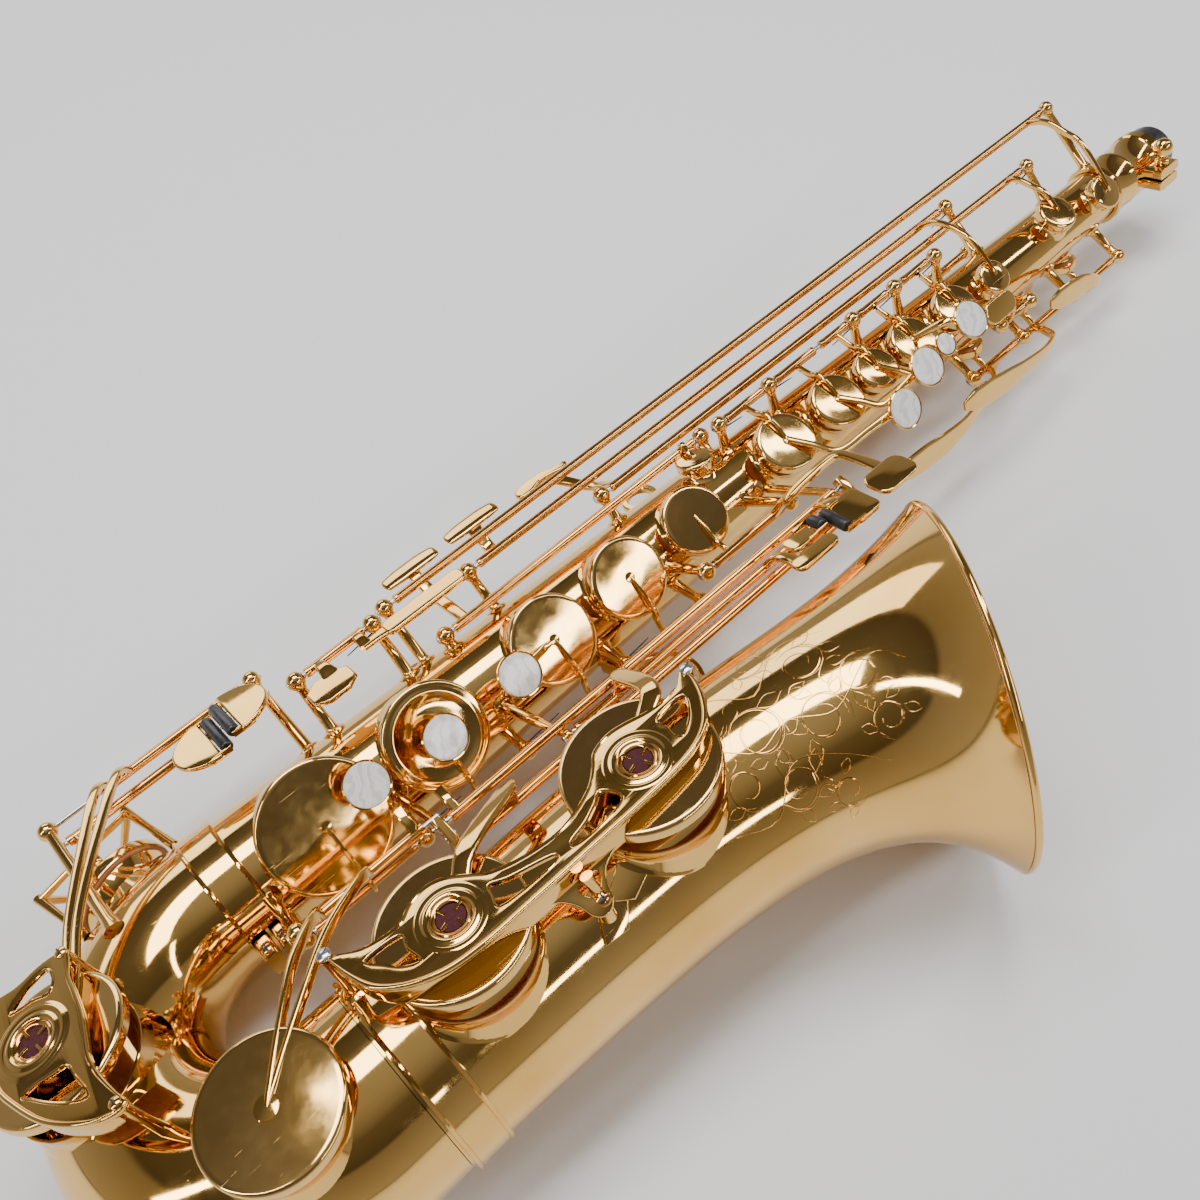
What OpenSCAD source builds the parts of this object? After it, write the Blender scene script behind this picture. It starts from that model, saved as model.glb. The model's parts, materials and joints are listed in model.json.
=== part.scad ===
// Tenor saxophone body without its neck, lying on its left side.
// The horn is drawn in its own frame: +X runs up the body tube from the bow ring,
// the bell lies towards -Y, and +Z is the player's right-hand side.
// lie() then rolls and lifts the whole horn onto the plane z = 0.

/* [Body tube] */
// Outer radius of the body tube at the bow ring
r_low = 30; // [29:0.5:31]
// Outer radius of the body tube under the neck receiver
r_top = 14.6; // [14:0.1:15]
// Length of the body tube
body_len = 612; // [606:1:616]
// Wall of the body tube
wall = 1.0; // [0.8:0.1:1.4]
// Direction of the main stack, measured from +Z towards the bell
stack_phi = 44; // [42:1:46]

/* [Bow and bell] */
// Centre-line radius of the bow
bow_r = 61; // [60:0.5:62]
// Outer radius at the bell end of the bow
bow_end_r = 39; // [38:0.5:40]
// Height of the bell's centre line, from the bow to the rim
bell_len = 257; // [250:1:260]
// Sideways sweep of the bell's centre line at the rim
bell_sweep = 43; // [40:1:45]
// Outer radius of the bell at the rim
rim_r = 76; // [74:0.5:77]

/* [Keywork] */
// Radius of the steel hinge rods
rod_r = 1.1; // [1:0.05:1.2]
// Outer radius of the hinge tubes
tube_r = 2.3; // [2.2:0.1:2.5]
// Radius of the ball on each post
ball_r = 4.0; // [3.8:0.1:4.2]
// Standing height of an open pad at its centre, in degrees of key travel
stack_open = 10; // [8:1:11]
// Radius of a pearl touch
pearl_r = 9.2; // [9:0.1:9.4]

/* [Resting place] */
// Roll that lays the horn on its left side
roll = 13; // [12.9:0.05:13.1]
// Pitch that lifts the neck end
pitch = -1.3; // [-1.35:0.05:-1.25]

/* [Hidden] */
$fn = 48;

lacquer = [0.83, 0.62, 0.28];
steel = [0.72, 0.73, 0.75];
nacre = [0.93, 0.92, 0.88];
black = [0.06, 0.06, 0.07];
felt_red = [0.35, 0.08, 0.08];

taper = (r_low - r_top) / body_len;
taper_deg = atan(taper);
gap = 0.25;                 // air left between a closed pad and its tone hole
bore_gap = 0.05;            // radial running clearance round a hinge rod
chimney = 3;                // height of a tone hole above the body's crown
chimney_wall = 1.2;
pad_inset = 3.6;            // how far a pad reaches past its tone hole
cup_h = 6.5;                // pad and cup together
straight = 16;              // straight length of the bow before it bends
bell_axis_y = -2 * bow_r;
lift_z = 33.25;
centre_x = -274.17;
centre_y = 79.38;

// Hinge lines, each the [y, z] of a line along the body
LS = [-43, -1];             // lower stack
US = [4, 37];               // upper stack
TB = [-84, 30];             // low B
TBB = [-79.5, 33.2];        // low B flat
TCS = [-75, 36.4];          // low C sharp lever
CSK = [-68, 34];            // low C sharp cup
TG = [-52, 24];             // G sharp
RP = [57, 40];              // low C
RPE = [51, 34];             // low E flat
R1 = [37, 44];              // high F sharp
R2 = [30, 37];              // side C
R3 = [20, 33];              // high E
RB = [12, 31];              // side B flat
RT = [30, 47];              // high F sharp touch
PK = [-29, -22];            // palm keys
FF = [-38, 8];              // front F
OC = [26, -16];             // octave lever
OV = [25, 4];               // octave vent

// [place along the body, cup radius] of the stack, low end first
D_CUP = [36, 28];
E_CUP = [93, 23.5];
F_CUP = [159, 20.5];
FS_CUP = [205, 19];
GS_CUP = [252, 17];
G_CUP = [314, 15.5];
A_CUP = [352, 14.5];
BIS_CUP = [382, 12];
B_CUP = [411, 13];
C_CUP = [446, 12.5];
SC_CUP = [483, 9.5];
STACK = [D_CUP, E_CUP, F_CUP, FS_CUP, GS_CUP, G_CUP, A_CUP, BIS_CUP, B_CUP, C_CUP, SC_CUP];
// [place, direction, cup radius] of the other cups on the body tube
HE_CUP = [547, 31, 11];
HFS_CUP = [585, 50, 10];
SBB_CUP = [277, -5, 9.5];
PD_CUP = [470, 165, 10.5];
PEB_CUP = [515, 165, 10];
PF_CUP = [560, 165, 9.5];
OCT_CUP = [500, -120, 4.5];
rest_r = 45.6;              // reach of the stud that the neck end lies on
OTHER = [HE_CUP, HFS_CUP, SBB_CUP, PD_CUP, PEB_CUP, PF_CUP];
// [bow angle, lean from +Z, cup radius] of the cups on the bow
C_LOW = [82, 6, 28];
CS_LOW = [163, 9, 26];
EB_LOW = [14, 78, 23];
// [place, lean, cup radius] of the cups on the bell
B_LOW = [42, 8, 28.5];
BB_LOW = [127, 8, 30];

function rb(x) = r_low - taper * x;
function pol(phi, r) = [-r * sin(phi), r * cos(phi)];
function at_x(x, p) = [x, p[0], p[1]];
function cup_top(x) = rb(x) + chimney + gap + cup_h;
function bell_y(x) = bell_axis_y - bell_sweep * pow(max(x, 0) / bell_len, 3.9);
function bell_slope(x) = -atan(3.9 * bell_sweep / bell_len * pow(max(x, 0) / bell_len, 2.9));
function bell_rad(x) = bow_end_r + 8 * max(x, 0) / bell_len
    + (rim_r - bow_end_r - 8) * pow(max(x, 0) / bell_len, 9);
function bow_rad(theta) = r_low + 0.6 + (bow_end_r - r_low - 0.6) * theta / 180;
function bell_top(c) = bell_rad(c[0]) + 4 + gap;
function bow_top(c) = bow_rad(c[0]) + 4 + gap;

// ---- frames ----
module lie() {
    translate([centre_x, centre_y, lift_z])
        rotate([0, pitch, 0])
            rotate([-roll, 0, 0])
                children();
}

module at(x, phi, r = 0) {
    translate([x, 0, 0])
        rotate([phi, 0, 0])
            translate([0, 0, r])
                rotate([0, taper_deg, 0])
                    children();
}

module on_bow(c, r) {
    translate([-straight, -bow_r, 0])
        rotate([0, 0, c[0]])
            translate([0, bow_r, 0])
                rotate([-c[1], 0, 0])
                    translate([0, 0, r])
                        children();
}

module on_bell(c, r) {
    translate([c[0], bell_y(c[0]), 0])
        rotate([c[1], 0, 0])
            translate([0, 0, r])
                children();
}

// turn a key about its hinge line
module swing(line, a) {
    translate([0, line[0], line[1]])
        rotate([a, 0, 0])
            translate([0, -line[0], -line[1]])
                children();
}

// ---- small shapes ----
module rod(x0, x1, line, r = rod_r) {
    translate([x0, line[0], line[1]])
        rotate([0, 90, 0])
            cylinder(h = x1 - x0, r = r);
}

// hinge tube that runs on a steel rod
module hinge_bore(line) rod(-120, 660, line, rod_r + bore_gap);

// flat bar from p to q, w deep and t thick
module bar(p, q, w = 4, t = 2.2) {
    v = q - p;
    len = norm(v);
    translate(p)
        rotate([0, acos(v[2] / len), atan2(v[1], v[0])])
            translate([-w / 2, -t / 2, 0])
                cube([w, t, len]);
}

// pad cup seen from its own axis: a pad below, a skirt and a slightly dished top
module cup(r) {
    rotate_extrude()
        polygon([[0, 0], [r - 1.2, 0], [r - 1.2, 1.6], [r, 1.6], [r, cup_h - 1.4],
            [r - 1.4, cup_h], [r - 3, cup_h - 0.5], [0, cup_h]]);
}

module stack_cup(c) at(c[0], stack_phi, rb(c[0]) + chimney + gap) cup(c[1]);

module side_cup(c) at(c[0], c[1], rb(c[0]) + chimney + gap) cup(c[2]);

// holder of a pearl, with its stem
module pearl_holder(p, phi, r, foot) {
    at(p, phi, r - 4)
        cylinder(h = 3, r1 = pearl_r - 1.5, r2 = pearl_r + 0.9);
    at(p, phi, r - foot)
        cylinder(h = foot - 3, r = 2.2);
}

module pearl(p, phi, r) {
    at(p, phi, r - 0.95)
        rotate_extrude()
            polygon([[0, 0], [pearl_r, 0], [pearl_r, 1.4], [pearl_r - 0.8, 2], [0, 1.6]]);
}

// touch plate with rounded ends
module plate(x0, x1, y0, y1, t = 2.4) {
    r = min(x1 - x0, y1 - y0) / 2 - 0.1;
    linear_extrude(t) {
        translate([x0 + r, y0]) square([x1 - x0 - 2 * r, y1 - y0]);
        translate([x0, y0 + r]) square([x1 - x0, y1 - y0 - 2 * r]);
        for (x = [x0 + r, x1 - r], y = [y0 + r, y1 - r])
            translate([x, y]) circle(r);
    }
}

// round bar from p to q
module strut(p, q, r1, r2) {
    v = q - p;
    translate(p)
        rotate([0, acos(v[2] / norm(v)), atan2(v[1], v[0])])
            cylinder(h = norm(v), r1 = r1, r2 = r2);
}

// ball post to a hinge line from a tube centred at y0 with outer radius r0
module post(x, line, ball = ball_r, y0 = 0, r0 = 0, r_tip = 2.2, r_base = 2.8) {
    foot = r0 > 0 ? r0 : rb(x);
    v = line - [y0, 0];
    r = norm(v);
    translate([x, y0, 0]) rotate([atan2(-v[0], v[1]), 0, 0]) {
        if (r_base > 2.5) translate([0, 0, foot + 0.15]) cylinder(h = 1.6, r1 = 5, r2 = 3.4);
        translate([0, 0, foot - 0.3]) cylinder(h = r - foot + 0.3, r1 = r_base, r2 = r_tip);
        if (ball > r_tip) translate([0, 0, r]) sphere(ball);
    }
}

// closed shell swept through rings of points
module shell(rings, inner, seg) {
    n = len(rings);
    outer_pts = [for (ring = rings, p = ring) p];
    inner_pts = [for (ring = inner, p = ring) p];
    k = n * seg;
    polyhedron(points = concat(outer_pts, inner_pts), faces = concat(
        [for (i = [0 : n - 2], j = [0 : seg - 1]) [i * seg + j, (i + 1) * seg + j,
            (i + 1) * seg + (j + 1) % seg, i * seg + (j + 1) % seg]],
        [for (i = [0 : n - 2], j = [0 : seg - 1]) [k + i * seg + j, k + i * seg + (j + 1) % seg,
            k + (i + 1) * seg + (j + 1) % seg, k + (i + 1) * seg + j]],
        [for (j = [0 : seg - 1]) [j, (j + 1) % seg, k + (j + 1) % seg, k + j]],
        [for (j = [0 : seg - 1]) [(n - 1) * seg + j, k + (n - 1) * seg + j,
            k + (n - 1) * seg + (j + 1) % seg, (n - 1) * seg + (j + 1) % seg]]));
}

// ---- fixed tube ----
module hole_cores(extra) {
    for (c = STACK)
        at(c[0], stack_phi) cylinder(h = rb(c[0]) + extra, r = c[1] - pad_inset);
    for (c = OTHER)
        at(c[0], c[1]) cylinder(h = rb(c[0]) + extra, r = c[2] - pad_inset);
}

module body_tube() lie() color(lacquer) {
    difference() {
        union() {
            rotate([0, 90, 0]) cylinder(h = body_len, r1 = r_low, r2 = r_top);
            for (c = STACK)
                at(c[0], stack_phi)
                    cylinder(h = rb(c[0]) + chimney, r = c[1] - pad_inset + chimney_wall);
            for (c = OTHER)
                at(c[0], c[1])
                    cylinder(h = rb(c[0]) + chimney, r = c[2] - pad_inset + chimney_wall);
            at(OCT_CUP[0], OCT_CUP[1]) cylinder(h = rb(OCT_CUP[0]) + chimney, r = 2.6);
        }
        translate([-0.5, 0, 0])
            rotate([0, 90, 0])
                cylinder(h = body_len + 1, r1 = r_low - wall, r2 = r_top - wall);
        hole_cores(chimney + 1);
        at(OCT_CUP[0], OCT_CUP[1]) cylinder(h = rb(OCT_CUP[0]) + chimney + 1, r = 1.3);
    }
}

function bow_ring(theta, dr, seg) = [for (j = [0 : seg - 1])
    let (a = 360 * j / seg, r = bow_rad(theta) - dr, d = bow_r + r * cos(a))
    [-straight - d * sin(theta), -bow_r + d * cos(theta), r * sin(a)]];
function bow_end(x, r, y, seg) = [for (j = [0 : seg - 1])
    let (a = 360 * j / seg) [x, y + r * cos(a), r * sin(a)]];
bow_seg = 40;
bow_steps = 20;

module bow() lie() color(lacquer) {
    thetas = [for (i = [0 : bow_steps]) 180 * i / bow_steps];
    bore = wall + 0.2;
    outer = concat([bow_end(-0.2, bow_rad(0), 0, bow_seg)],
        [for (t = thetas) bow_ring(t, 0, bow_seg)],
        [[for (j = [0 : bow_seg - 1]) let (a = 360 * j / bow_seg)
            [-0.2, bell_axis_y - bow_end_r * cos(a), bow_end_r * sin(a)]]]);
    inner = concat([bow_end(-0.2, bow_rad(0) - bore, 0, bow_seg)],
        [for (t = thetas) bow_ring(t, bore, bow_seg)],
        [[for (j = [0 : bow_seg - 1]) let (a = 360 * j / bow_seg)
            [-0.2, bell_axis_y - (bow_end_r - bore) * cos(a), (bow_end_r - bore) * sin(a)]]]);
    shell(outer, inner, bow_seg);
}

bell_seg = 44;
bell_steps = 24;
function bell_ring(x, dr) = [for (j = [0 : bell_seg - 1])
    let (a = 360 * j / bell_seg, r = bell_rad(x) - dr, s = bell_slope(x))
    [x - r * cos(a) * sin(s), bell_y(x) + r * cos(a) * cos(s), -r * sin(a)]];

module bell() lie() color(lacquer) {
    xs = [for (i = [0 : bell_steps]) let (t = i / bell_steps) bell_len * (1 - pow(1 - t, 1.5))];
    shell([for (x = xs) bell_ring(x, 0)], [for (x = xs) bell_ring(x, wall + 0.2)], bell_seg);
}

module bell_frame(x) {
    translate([x, bell_y(x), 0])
        rotate([0, 0, bell_slope(x)])
            rotate([0, 90, 0])
                children();
}

module bell_rim() lie() color(lacquer) {
    bell_frame(bell_len)
        rotate_extrude($fn = 96)
            translate([rim_r - 0.4, 1.75]) circle(1.6);
}

module low_hole(r, h) {
    difference() {
        translate([0, 0, -h]) cylinder(h = h, r = r - pad_inset + chimney_wall);
        translate([0, 0, -h - 1]) cylinder(h = h + 2, r = r - pad_inset);
    }
}

module low_tone_holes() lie() color(lacquer) {
    for (c = [C_LOW, CS_LOW, EB_LOW])
        on_bow(c, bow_top(c) - gap) low_hole(c[2], 14);
    for (c = [B_LOW, BB_LOW])
        on_bell(c, bell_top(c) - gap) low_hole(c[2], 16);
}

// clamp ring with a bead along each edge and a split plate for two screws
module tube_ring(r, w) {
    rotate_extrude($fn = 96)
        polygon([[r, 0], [r + 2, 0], [r + 2, 2], [r + 1.1, 2.6], [r + 1.1, w - 2.6],
            [r + 2, w - 2], [r + 2, w], [r, w]]);
}

module body_bow_ring() lie() color(lacquer) {
    translate([-14, 0, 0]) rotate([0, 90, 0]) tube_ring(bow_rad(0) + 0.25, 17);
    translate([-13, -38.5, -6]) cube([15, 6, 12]);
}

module bow_bell_ring() lie() color(lacquer)
    translate([1, bell_axis_y, 0]) rotate([0, 90, 0]) tube_ring(bow_end_r + 0.75, 16);

// ring brace between the body tube and the bell
module bell_brace() lie() color(lacquer) {
    x = 186;
    ring_y = -56;
    ring_r = 20;
    translate([0, 0, -15]) {
        difference() {
            union() {
                translate([x, -18, 0]) rotate([90, 0, 0]) cylinder(h = 17, r = 7);
                translate([x, -77, 0]) rotate([90, 0, 0]) cylinder(h = 17, r = 7);
            }
            translate([0, 0, 15])
                rotate([0, 90, 0]) cylinder(h = body_len, r1 = r_low + 0.1, r2 = r_top + 0.1);
            translate([x - 10, bell_y(x), 15])
                rotate([0, 90, 0]) cylinder(h = 20, r = bell_rad(x) + 0.2);
        }
        translate([x, ring_y, 0])
            rotate_extrude($fn = 64)
                translate([ring_r, 0]) square([3, 9], center = true);
    }
}

module neck_receiver() lie() color(lacquer) {
    difference() {
        union() {
            translate([600, 0, 0]) rotate([0, 90, 0]) cylinder(h = 48, r = 16.2);
            translate([600, 0, 0]) rotate([0, 90, 0]) cylinder(h = 4, r = 17.6);
            translate([642, 0, 0]) rotate([0, 90, 0]) cylinder(h = 6, r = 17.2);
            translate([628, -26, -6.5]) cube([18, 12, 13]);
        }
        translate([599, 0, 0]) rotate([0, 90, 0]) cylinder(h = 13.2, r = 15.2);
        translate([599, 0, 0]) rotate([0, 90, 0]) cylinder(h = 60, r = 14);
        translate([622, -30, -0.6]) cube([40, 20, 1.2]);
        translate([637, -21, -10]) cylinder(h = 20, r = 2.05);
    }
}

module receiver_screw() lie() color(lacquer) {
    translate([637, -21, -9]) cylinder(h = 22, r = 2);
    translate([637, -21, 6.8]) cylinder(h = 2.5, r = 4);
    translate([637, -21, 16]) sphere(5.5);
    translate([637, -21, -9.4]) cylinder(h = 2.4, r = 3.4);
}

module end_plug() lie() color(black) {
    translate([615, 0, 0]) rotate([0, 90, 0]) cylinder(h = 34, r = 13.93);
    translate([648.3, 0, 0])
        rotate([0, 90, 0])
            rotate_extrude()
                polygon([[0, 0], [14.8, 0], [14.8, 10.5], [13.3, 12], [0, 12]]);
}

module strap_ring() lie() color(lacquer) {
    x = 262;
    translate([x, 0, 0]) rotate([-90, 0, 0]) {
        translate([0, 0, rb(x) + 0.2]) cylinder(h = 3, r1 = 7.5, r2 = 5);
        translate([0, 0, rb(x) + 12])
            rotate([90, 0, 0])
                difference() {
                    translate([0, 0, -2]) cylinder(h = 4, r = 10);
                    translate([0, 0, -3]) cylinder(h = 6, r = 6.5);
                }
    }
}

module thumb_hook() lie() color(lacquer) {
    x = 112;
    translate([x, 0, 0]) rotate([-100, 0, 0]) translate([0, 0, rb(x) + 0.2]) {
        translate([-16, -6.5, 0]) cube([32, 13, 2.4]);
        translate([10, -7, 0]) cube([3.2, 14, 17]);
        translate([-6, -7, 14.5]) cube([19, 14, 3]);
        translate([-9, 0, 2]) cylinder(h = 3.2, r = 4.2);
    }
}

module thumb_rest() lie() color(black)
    translate([350, 0, 0])
        rotate([-112, 0, 0])
            translate([0, 0, rb(350) + 0.2])
                rotate_extrude()
                    polygon([[0, 0], [8.5, 0], [9.2, 3], [8, 4.6], [0, 5.2]]);

// ---- guards ----
guard_z = 62;
module bell_key_guard() lie() color(lacquer) {
    b = [B_LOW[0], -128];
    bb = [BB_LOW[0], -129];
    translate([0, 0, guard_z]) linear_extrude(2.6) difference() {
        union() {
            for (p = [b, bb]) translate(p) circle(15);
            polygon([b + [0, -15], bb + [0, -15], bb + [-9, -3], b + [30, -3], b + [9, 9]]);
            difference() {
                translate([27, -113]) circle(27);
                translate([32, -106]) circle(26.5);
            }
            difference() {
                translate([143, -121]) circle(27);
                translate([135, -114]) circle(26.5);
            }
        }
        for (p = [b, bb]) translate(p) circle(7.2);
        polygon([b + [17, -11], b + [40, -11], b + [36, -6], b + [19, -6]]);
        polygon([bb - [17, 11], bb - [40, 11], bb - [36, 6], bb - [19, 7]]);
    }
    for (p = [[5, -106, 38.4], [84.5, -141, 36.6], [165, -116, 42]])
        translate([p[0], p[1], p[2]]) {
            cylinder(h = guard_z - p[2] + 1, r = 2.6);
            cylinder(h = 1.5, r = 5);
        }
}

module low_c_guard() lie() color(lacquer) on_bow(C_LOW, 0) {
    z = bow_rad(C_LOW[0]) + 24;
    legs = [[40, 21.5], [160, 28], [280, 11]];
    translate([0, 0, z]) linear_extrude(2.6) difference() {
        union() {
            circle(15);
            for (leg = legs) rotate(leg[0]) translate([0, -4]) square([35, 8]);
        }
        circle(7.2);
    }
    for (leg = legs)
        rotate([0, 0, leg[0]]) translate([33, 0, leg[1]]) cylinder(h = z - leg[1] + 1, r = 2.6);
}

module low_eb_guard() lie() color(lacquer) on_bow(EB_LOW, bow_rad(EB_LOW[0])) {
    r = 27.5;
    for (leg = [[90, -17.5], [210, -5], [330, -5]]) {
        p = r * [cos(leg[0]), sin(leg[0]), 0];
        q = r * [cos(leg[0] + 120), sin(leg[0] + 120), 0];
        bar(p + [0, 0, 24.5], q + [0, 0, 24.5], 2.4, 4);
        translate(p + [0, 0, leg[1]]) cylinder(h = 26.5 - leg[1], r = 2.2);
    }
}

module guard_felts() lie() color(felt_red) {
    for (c = [B_LOW, BB_LOW])
        translate([c[0], c[0] == B_LOW[0] ? -128 : -129, guard_z - 2.5]) cylinder(h = 5.9, r = 7.1);
    on_bow(C_LOW, bow_rad(C_LOW[0]) + 20.5) cylinder(h = 7, r = 7.1);
}

module guard_screws() lie() color(steel) {
    for (p = [[5, -106], [84.5, -141], [165, -116]])
        translate([p[0], p[1], guard_z + 2.7]) cylinder(h = 2, r1 = 3.4, r2 = 2.6);
    for (x = [-9.5, -1.5])
        translate([x, -35.5, 6.1]) cylinder(h = 1.8, r1 = 3, r2 = 2.4);
}

module bow_guard_strip() lie() color(lacquer)
    translate([-straight, -bow_r, 0])
        rotate([0, 0, 121])
            rotate_extrude(angle = 32, $fn = 96)
                translate([bow_r + bow_rad(40) + 3.4, -3]) square([1.8, 6]);

// ---- posts and rods ----
module stack_posts() lie() color(lacquer) difference() {
    union() {
        for (x = [4, 65, 122, 182, 230]) post(x, LS);
        for (x = [297.5, 333, 396, 429, 462]) post(x, US);
        for (x = [229.8, 284]) post(x, TG);
        for (x = [460, 485]) post(x, FF);
    }
    rods(0.02);
}

module key_posts() lie() color(lacquer) difference() {
    union() {
        bell_side_posts();
        side_key_posts();
        palm_key_posts();
    }
    rods(0.02);
}

module bell_side_posts() {
    post(3, CSK);
    post(127, TBB, 2.9, 0, 0, 1.8);
    for (x = [66.8, 296]) {
        line = x < 100 ? TCS - [1, 1] : TBB;
        post(x, line, 2.2, 0, 0, 2.2, 2.2);
        bar(at_x(x, TCS + [3, 2.1]), at_x(x, TB - [3, 2.1]), 4.4, 6.4);
    }
}

module side_key_posts() {
    post(117, R1);
    post(608, R1, ball_r, 0, 16.2);
    for (x = [158, 505]) post(x, R2);
    for (x = [232, 565]) post(x, R3);
    for (x = [66, 107]) post(x, RT);
    for (x = [129, 291]) post(x, RB);
    post(54, RP);
    strut([-48, -4, 30.5], at_x(-48, RP), 2.8, 2.2);
    translate(at_x(-48, RP)) sphere(ball_r);
    strut([-48, -4.4, 30.2], [-48, -3.2, 32.2], 5, 3.4);
}

module palm_key_posts() {
    for (x = [448, 492, 537, 582]) post(x, PK);
    for (x = [375, 425]) post(x, OC);
    for (x = [486, 516]) post(x, OV);
    at(548, 180 + roll) {
        translate([0, 0, rb(548) + 0.1]) cylinder(h = 1.6, r1 = 6, r2 = 4.2);
        translate([0, 0, rb(548) + 1]) cylinder(h = rest_r - rb(548) - 5, r = 3);
        translate([0, 0, rest_r - 5]) sphere(5);
    }
}

module rods(extra) {
    r = rod_r + extra;
    rod(1, 233, LS, r);
    rod(294, 465, US, r);
    rod(227, 287, TG, r);
    rod(457, 488, FF, r);
    rod(0, 69.4, CSK, r);
    rod(64.2, 299, TCS, r);
    rod(64.2, 299, TB, r);
    rod(124, 299, TBB, r);
    rod(-51, 57, RP, r);
    rod(-51, 57, RPE, r);
    rod(114, 611, R1, r);
    rod(155, 508, R2, r);
    rod(229, 568, R3, r);
    rod(63, 110, RT, r);
    rod(126, 294, RB, r);
    rod(445, 585, PK, r);
    rod(372, 428, OC, r);
    rod(483, 519, OV, r);
}

module hinge_rods() lie() color(steel) rods(0);

// ---- moving keys ----
// a point beside the stack: s along the tangent towards the bell, h from the tube's axis
function sh(s, h) = [-s * cos(stack_phi) - h * sin(stack_phi),
    -s * sin(stack_phi) + h * cos(stack_phi)];

// key made of its hinge tube from x0 to x1 and whatever is attached to it
module key(line, x0, x1) {
    difference() {
        union() {
            rod(x0, x1, line, tube_r);
            children();
        }
        hinge_bore(line);
    }
}

// arm from a hinge line over the rim of a stack cup to its centre
module stack_arm(c, line, side) {
    knee = sh(side * (c[1] + 2.2), cup_top(c[0]) - 0.6);
    bar(at_x(c[0], line + [0, 1]), at_x(c[0], knee));
    bar(at_x(c[0], knee + side * [-0.5, -0.5]), at_x(c[0], sh(-side * 3, cup_top(c[0]) + 0.3)), 3.4);
}

module stack_key(c, line, side, x0, x1, a) {
    swing(line, a)
        key(line, x0, x1) {
            stack_cup(c);
            stack_arm(c, line, side);
            children();
        }
}

LH_OPEN = -stack_open;
RH3_P = [57, 38, 52];
RH2_P = [93, 44, 51];
RH1_P = [134, 44, 48];
LH3_P = [362, 73, 56];
LH2_P = [387, 64, 54];
BIS_P = [408, 62, 49];
LH1_P = [428, 60, 50];

module rh3_key() lie() color(lacquer)
    stack_key(D_CUP, LS, 1, 9, 60, stack_open)
        pearl_holder(RH3_P[0], RH3_P[1], RH3_P[2], 14);

module rh3_pearl() lie() color(nacre) swing(LS, stack_open) pearl(RH3_P[0], RH3_P[1], RH3_P[2]);

module rh2_key() lie() color(lacquer)
    stack_key(E_CUP, LS, 1, 70, 117, stack_open)
        pearl_holder(RH2_P[0], RH2_P[1], RH2_P[2], 13);

module rh2_pearl() lie() color(nacre) swing(LS, stack_open) pearl(RH2_P[0], RH2_P[1], RH2_P[2]);

module rh1_key() lie() color(lacquer)
    stack_key(F_CUP, LS, 1, 127, 177, stack_open) {
        pearl_holder(RH1_P[0], RH1_P[1], RH1_P[2], 11);
        bar(at_x(134, pol(44, 39)), at_x(152, pol(44, cup_top(159) - 1)), 4, 5);
    }

module rh1_pearl() lie() color(nacre) swing(LS, stack_open) pearl(RH1_P[0], RH1_P[1], RH1_P[2]);

module f_sharp_key() lie() color(lacquer)
    stack_key(FS_CUP, LS, 1, 187, 225, stack_open);

module g_sharp_key() lie() color(lacquer)
    key(TG, 235, 279) {
        stack_cup(GS_CUP);
        bar(at_x(252, TG + [0, 1]), at_x(252, sh(21, 36)), 4);
        bar(at_x(252, sh(21.5, 36)), at_x(252, sh(-3, cup_top(252) + 0.3)), 3.4);
        bar(at_x(274, TG), [275, -62, 38], 4, 4);
        bar([274, -61, 37.4], [306, -63, 42], 4, 4);
        bar([305, -61.5, 41.4], [307, -90, 44.8], 3, 7);
        translate([0, 0, 43.5]) plate(294, 317, -103, -87);
    }

module lh3_key() lie() color(lacquer)
    stack_key(G_CUP, US, -1, 302, 328, LH_OPEN) {
        bar(at_x(314, sh(0, cup_top(314))), at_x(328, sh(21, 36)), 3.4, 3);
        bar(at_x(327, sh(20.5, 36)), at_x(LH3_P[0], pol(LH3_P[1], LH3_P[2] - 6)), 3.4, 3);
        pearl_holder(LH3_P[0], LH3_P[1], LH3_P[2], 8);
    }

module lh3_pearl() lie() color(nacre) swing(US, LH_OPEN) pearl(LH3_P[0], LH3_P[1], LH3_P[2]);

module lh2_key() lie() color(lacquer)
    stack_key(A_CUP, US, -1, 338, 366, LH_OPEN) {
        bar(at_x(352, sh(0, cup_top(352))), at_x(364, sh(17.5, 36)), 3.2, 3);
        bar(at_x(363, sh(17, 35.8)), at_x(LH2_P[0], pol(LH2_P[1], LH2_P[2] - 6)), 3.2, 3);
        pearl_holder(LH2_P[0], LH2_P[1], LH2_P[2], 8);
    }

module lh2_pearl() lie() color(nacre) swing(US, LH_OPEN) pearl(LH2_P[0], LH2_P[1], LH2_P[2]);

module bis_key() lie() color(lacquer)
    stack_key(BIS_CUP, US, -1, 371, 391, LH_OPEN) {
        bar(at_x(382, sh(0, cup_top(382))), at_x(393, sh(16, 33)), 3, 3);
        bar(at_x(392, sh(15.5, 32.8)), at_x(BIS_P[0], pol(BIS_P[1], BIS_P[2] - 4)), 3, 3);
        at(BIS_P[0], BIS_P[1], BIS_P[2] - 5) cylinder(h = 5, r1 = 4, r2 = 6.3);
    }

module lh1_key() lie() color(lacquer)
    stack_key(B_CUP, US, -1, 401, 423, LH_OPEN) {
        bar(at_x(411, sh(0, cup_top(411))), at_x(LH1_P[0], pol(LH1_P[1], LH1_P[2] - 6)), 3.2, 3);
        pearl_holder(LH1_P[0], LH1_P[1], LH1_P[2], 8);
    }

module lh1_pearl() lie() color(nacre) swing(US, LH_OPEN) pearl(LH1_P[0], LH1_P[1], LH1_P[2]);

module c_vent_key() lie() color(lacquer)
    stack_key(C_CUP, US, -1, 435, 456, LH_OPEN);

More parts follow.
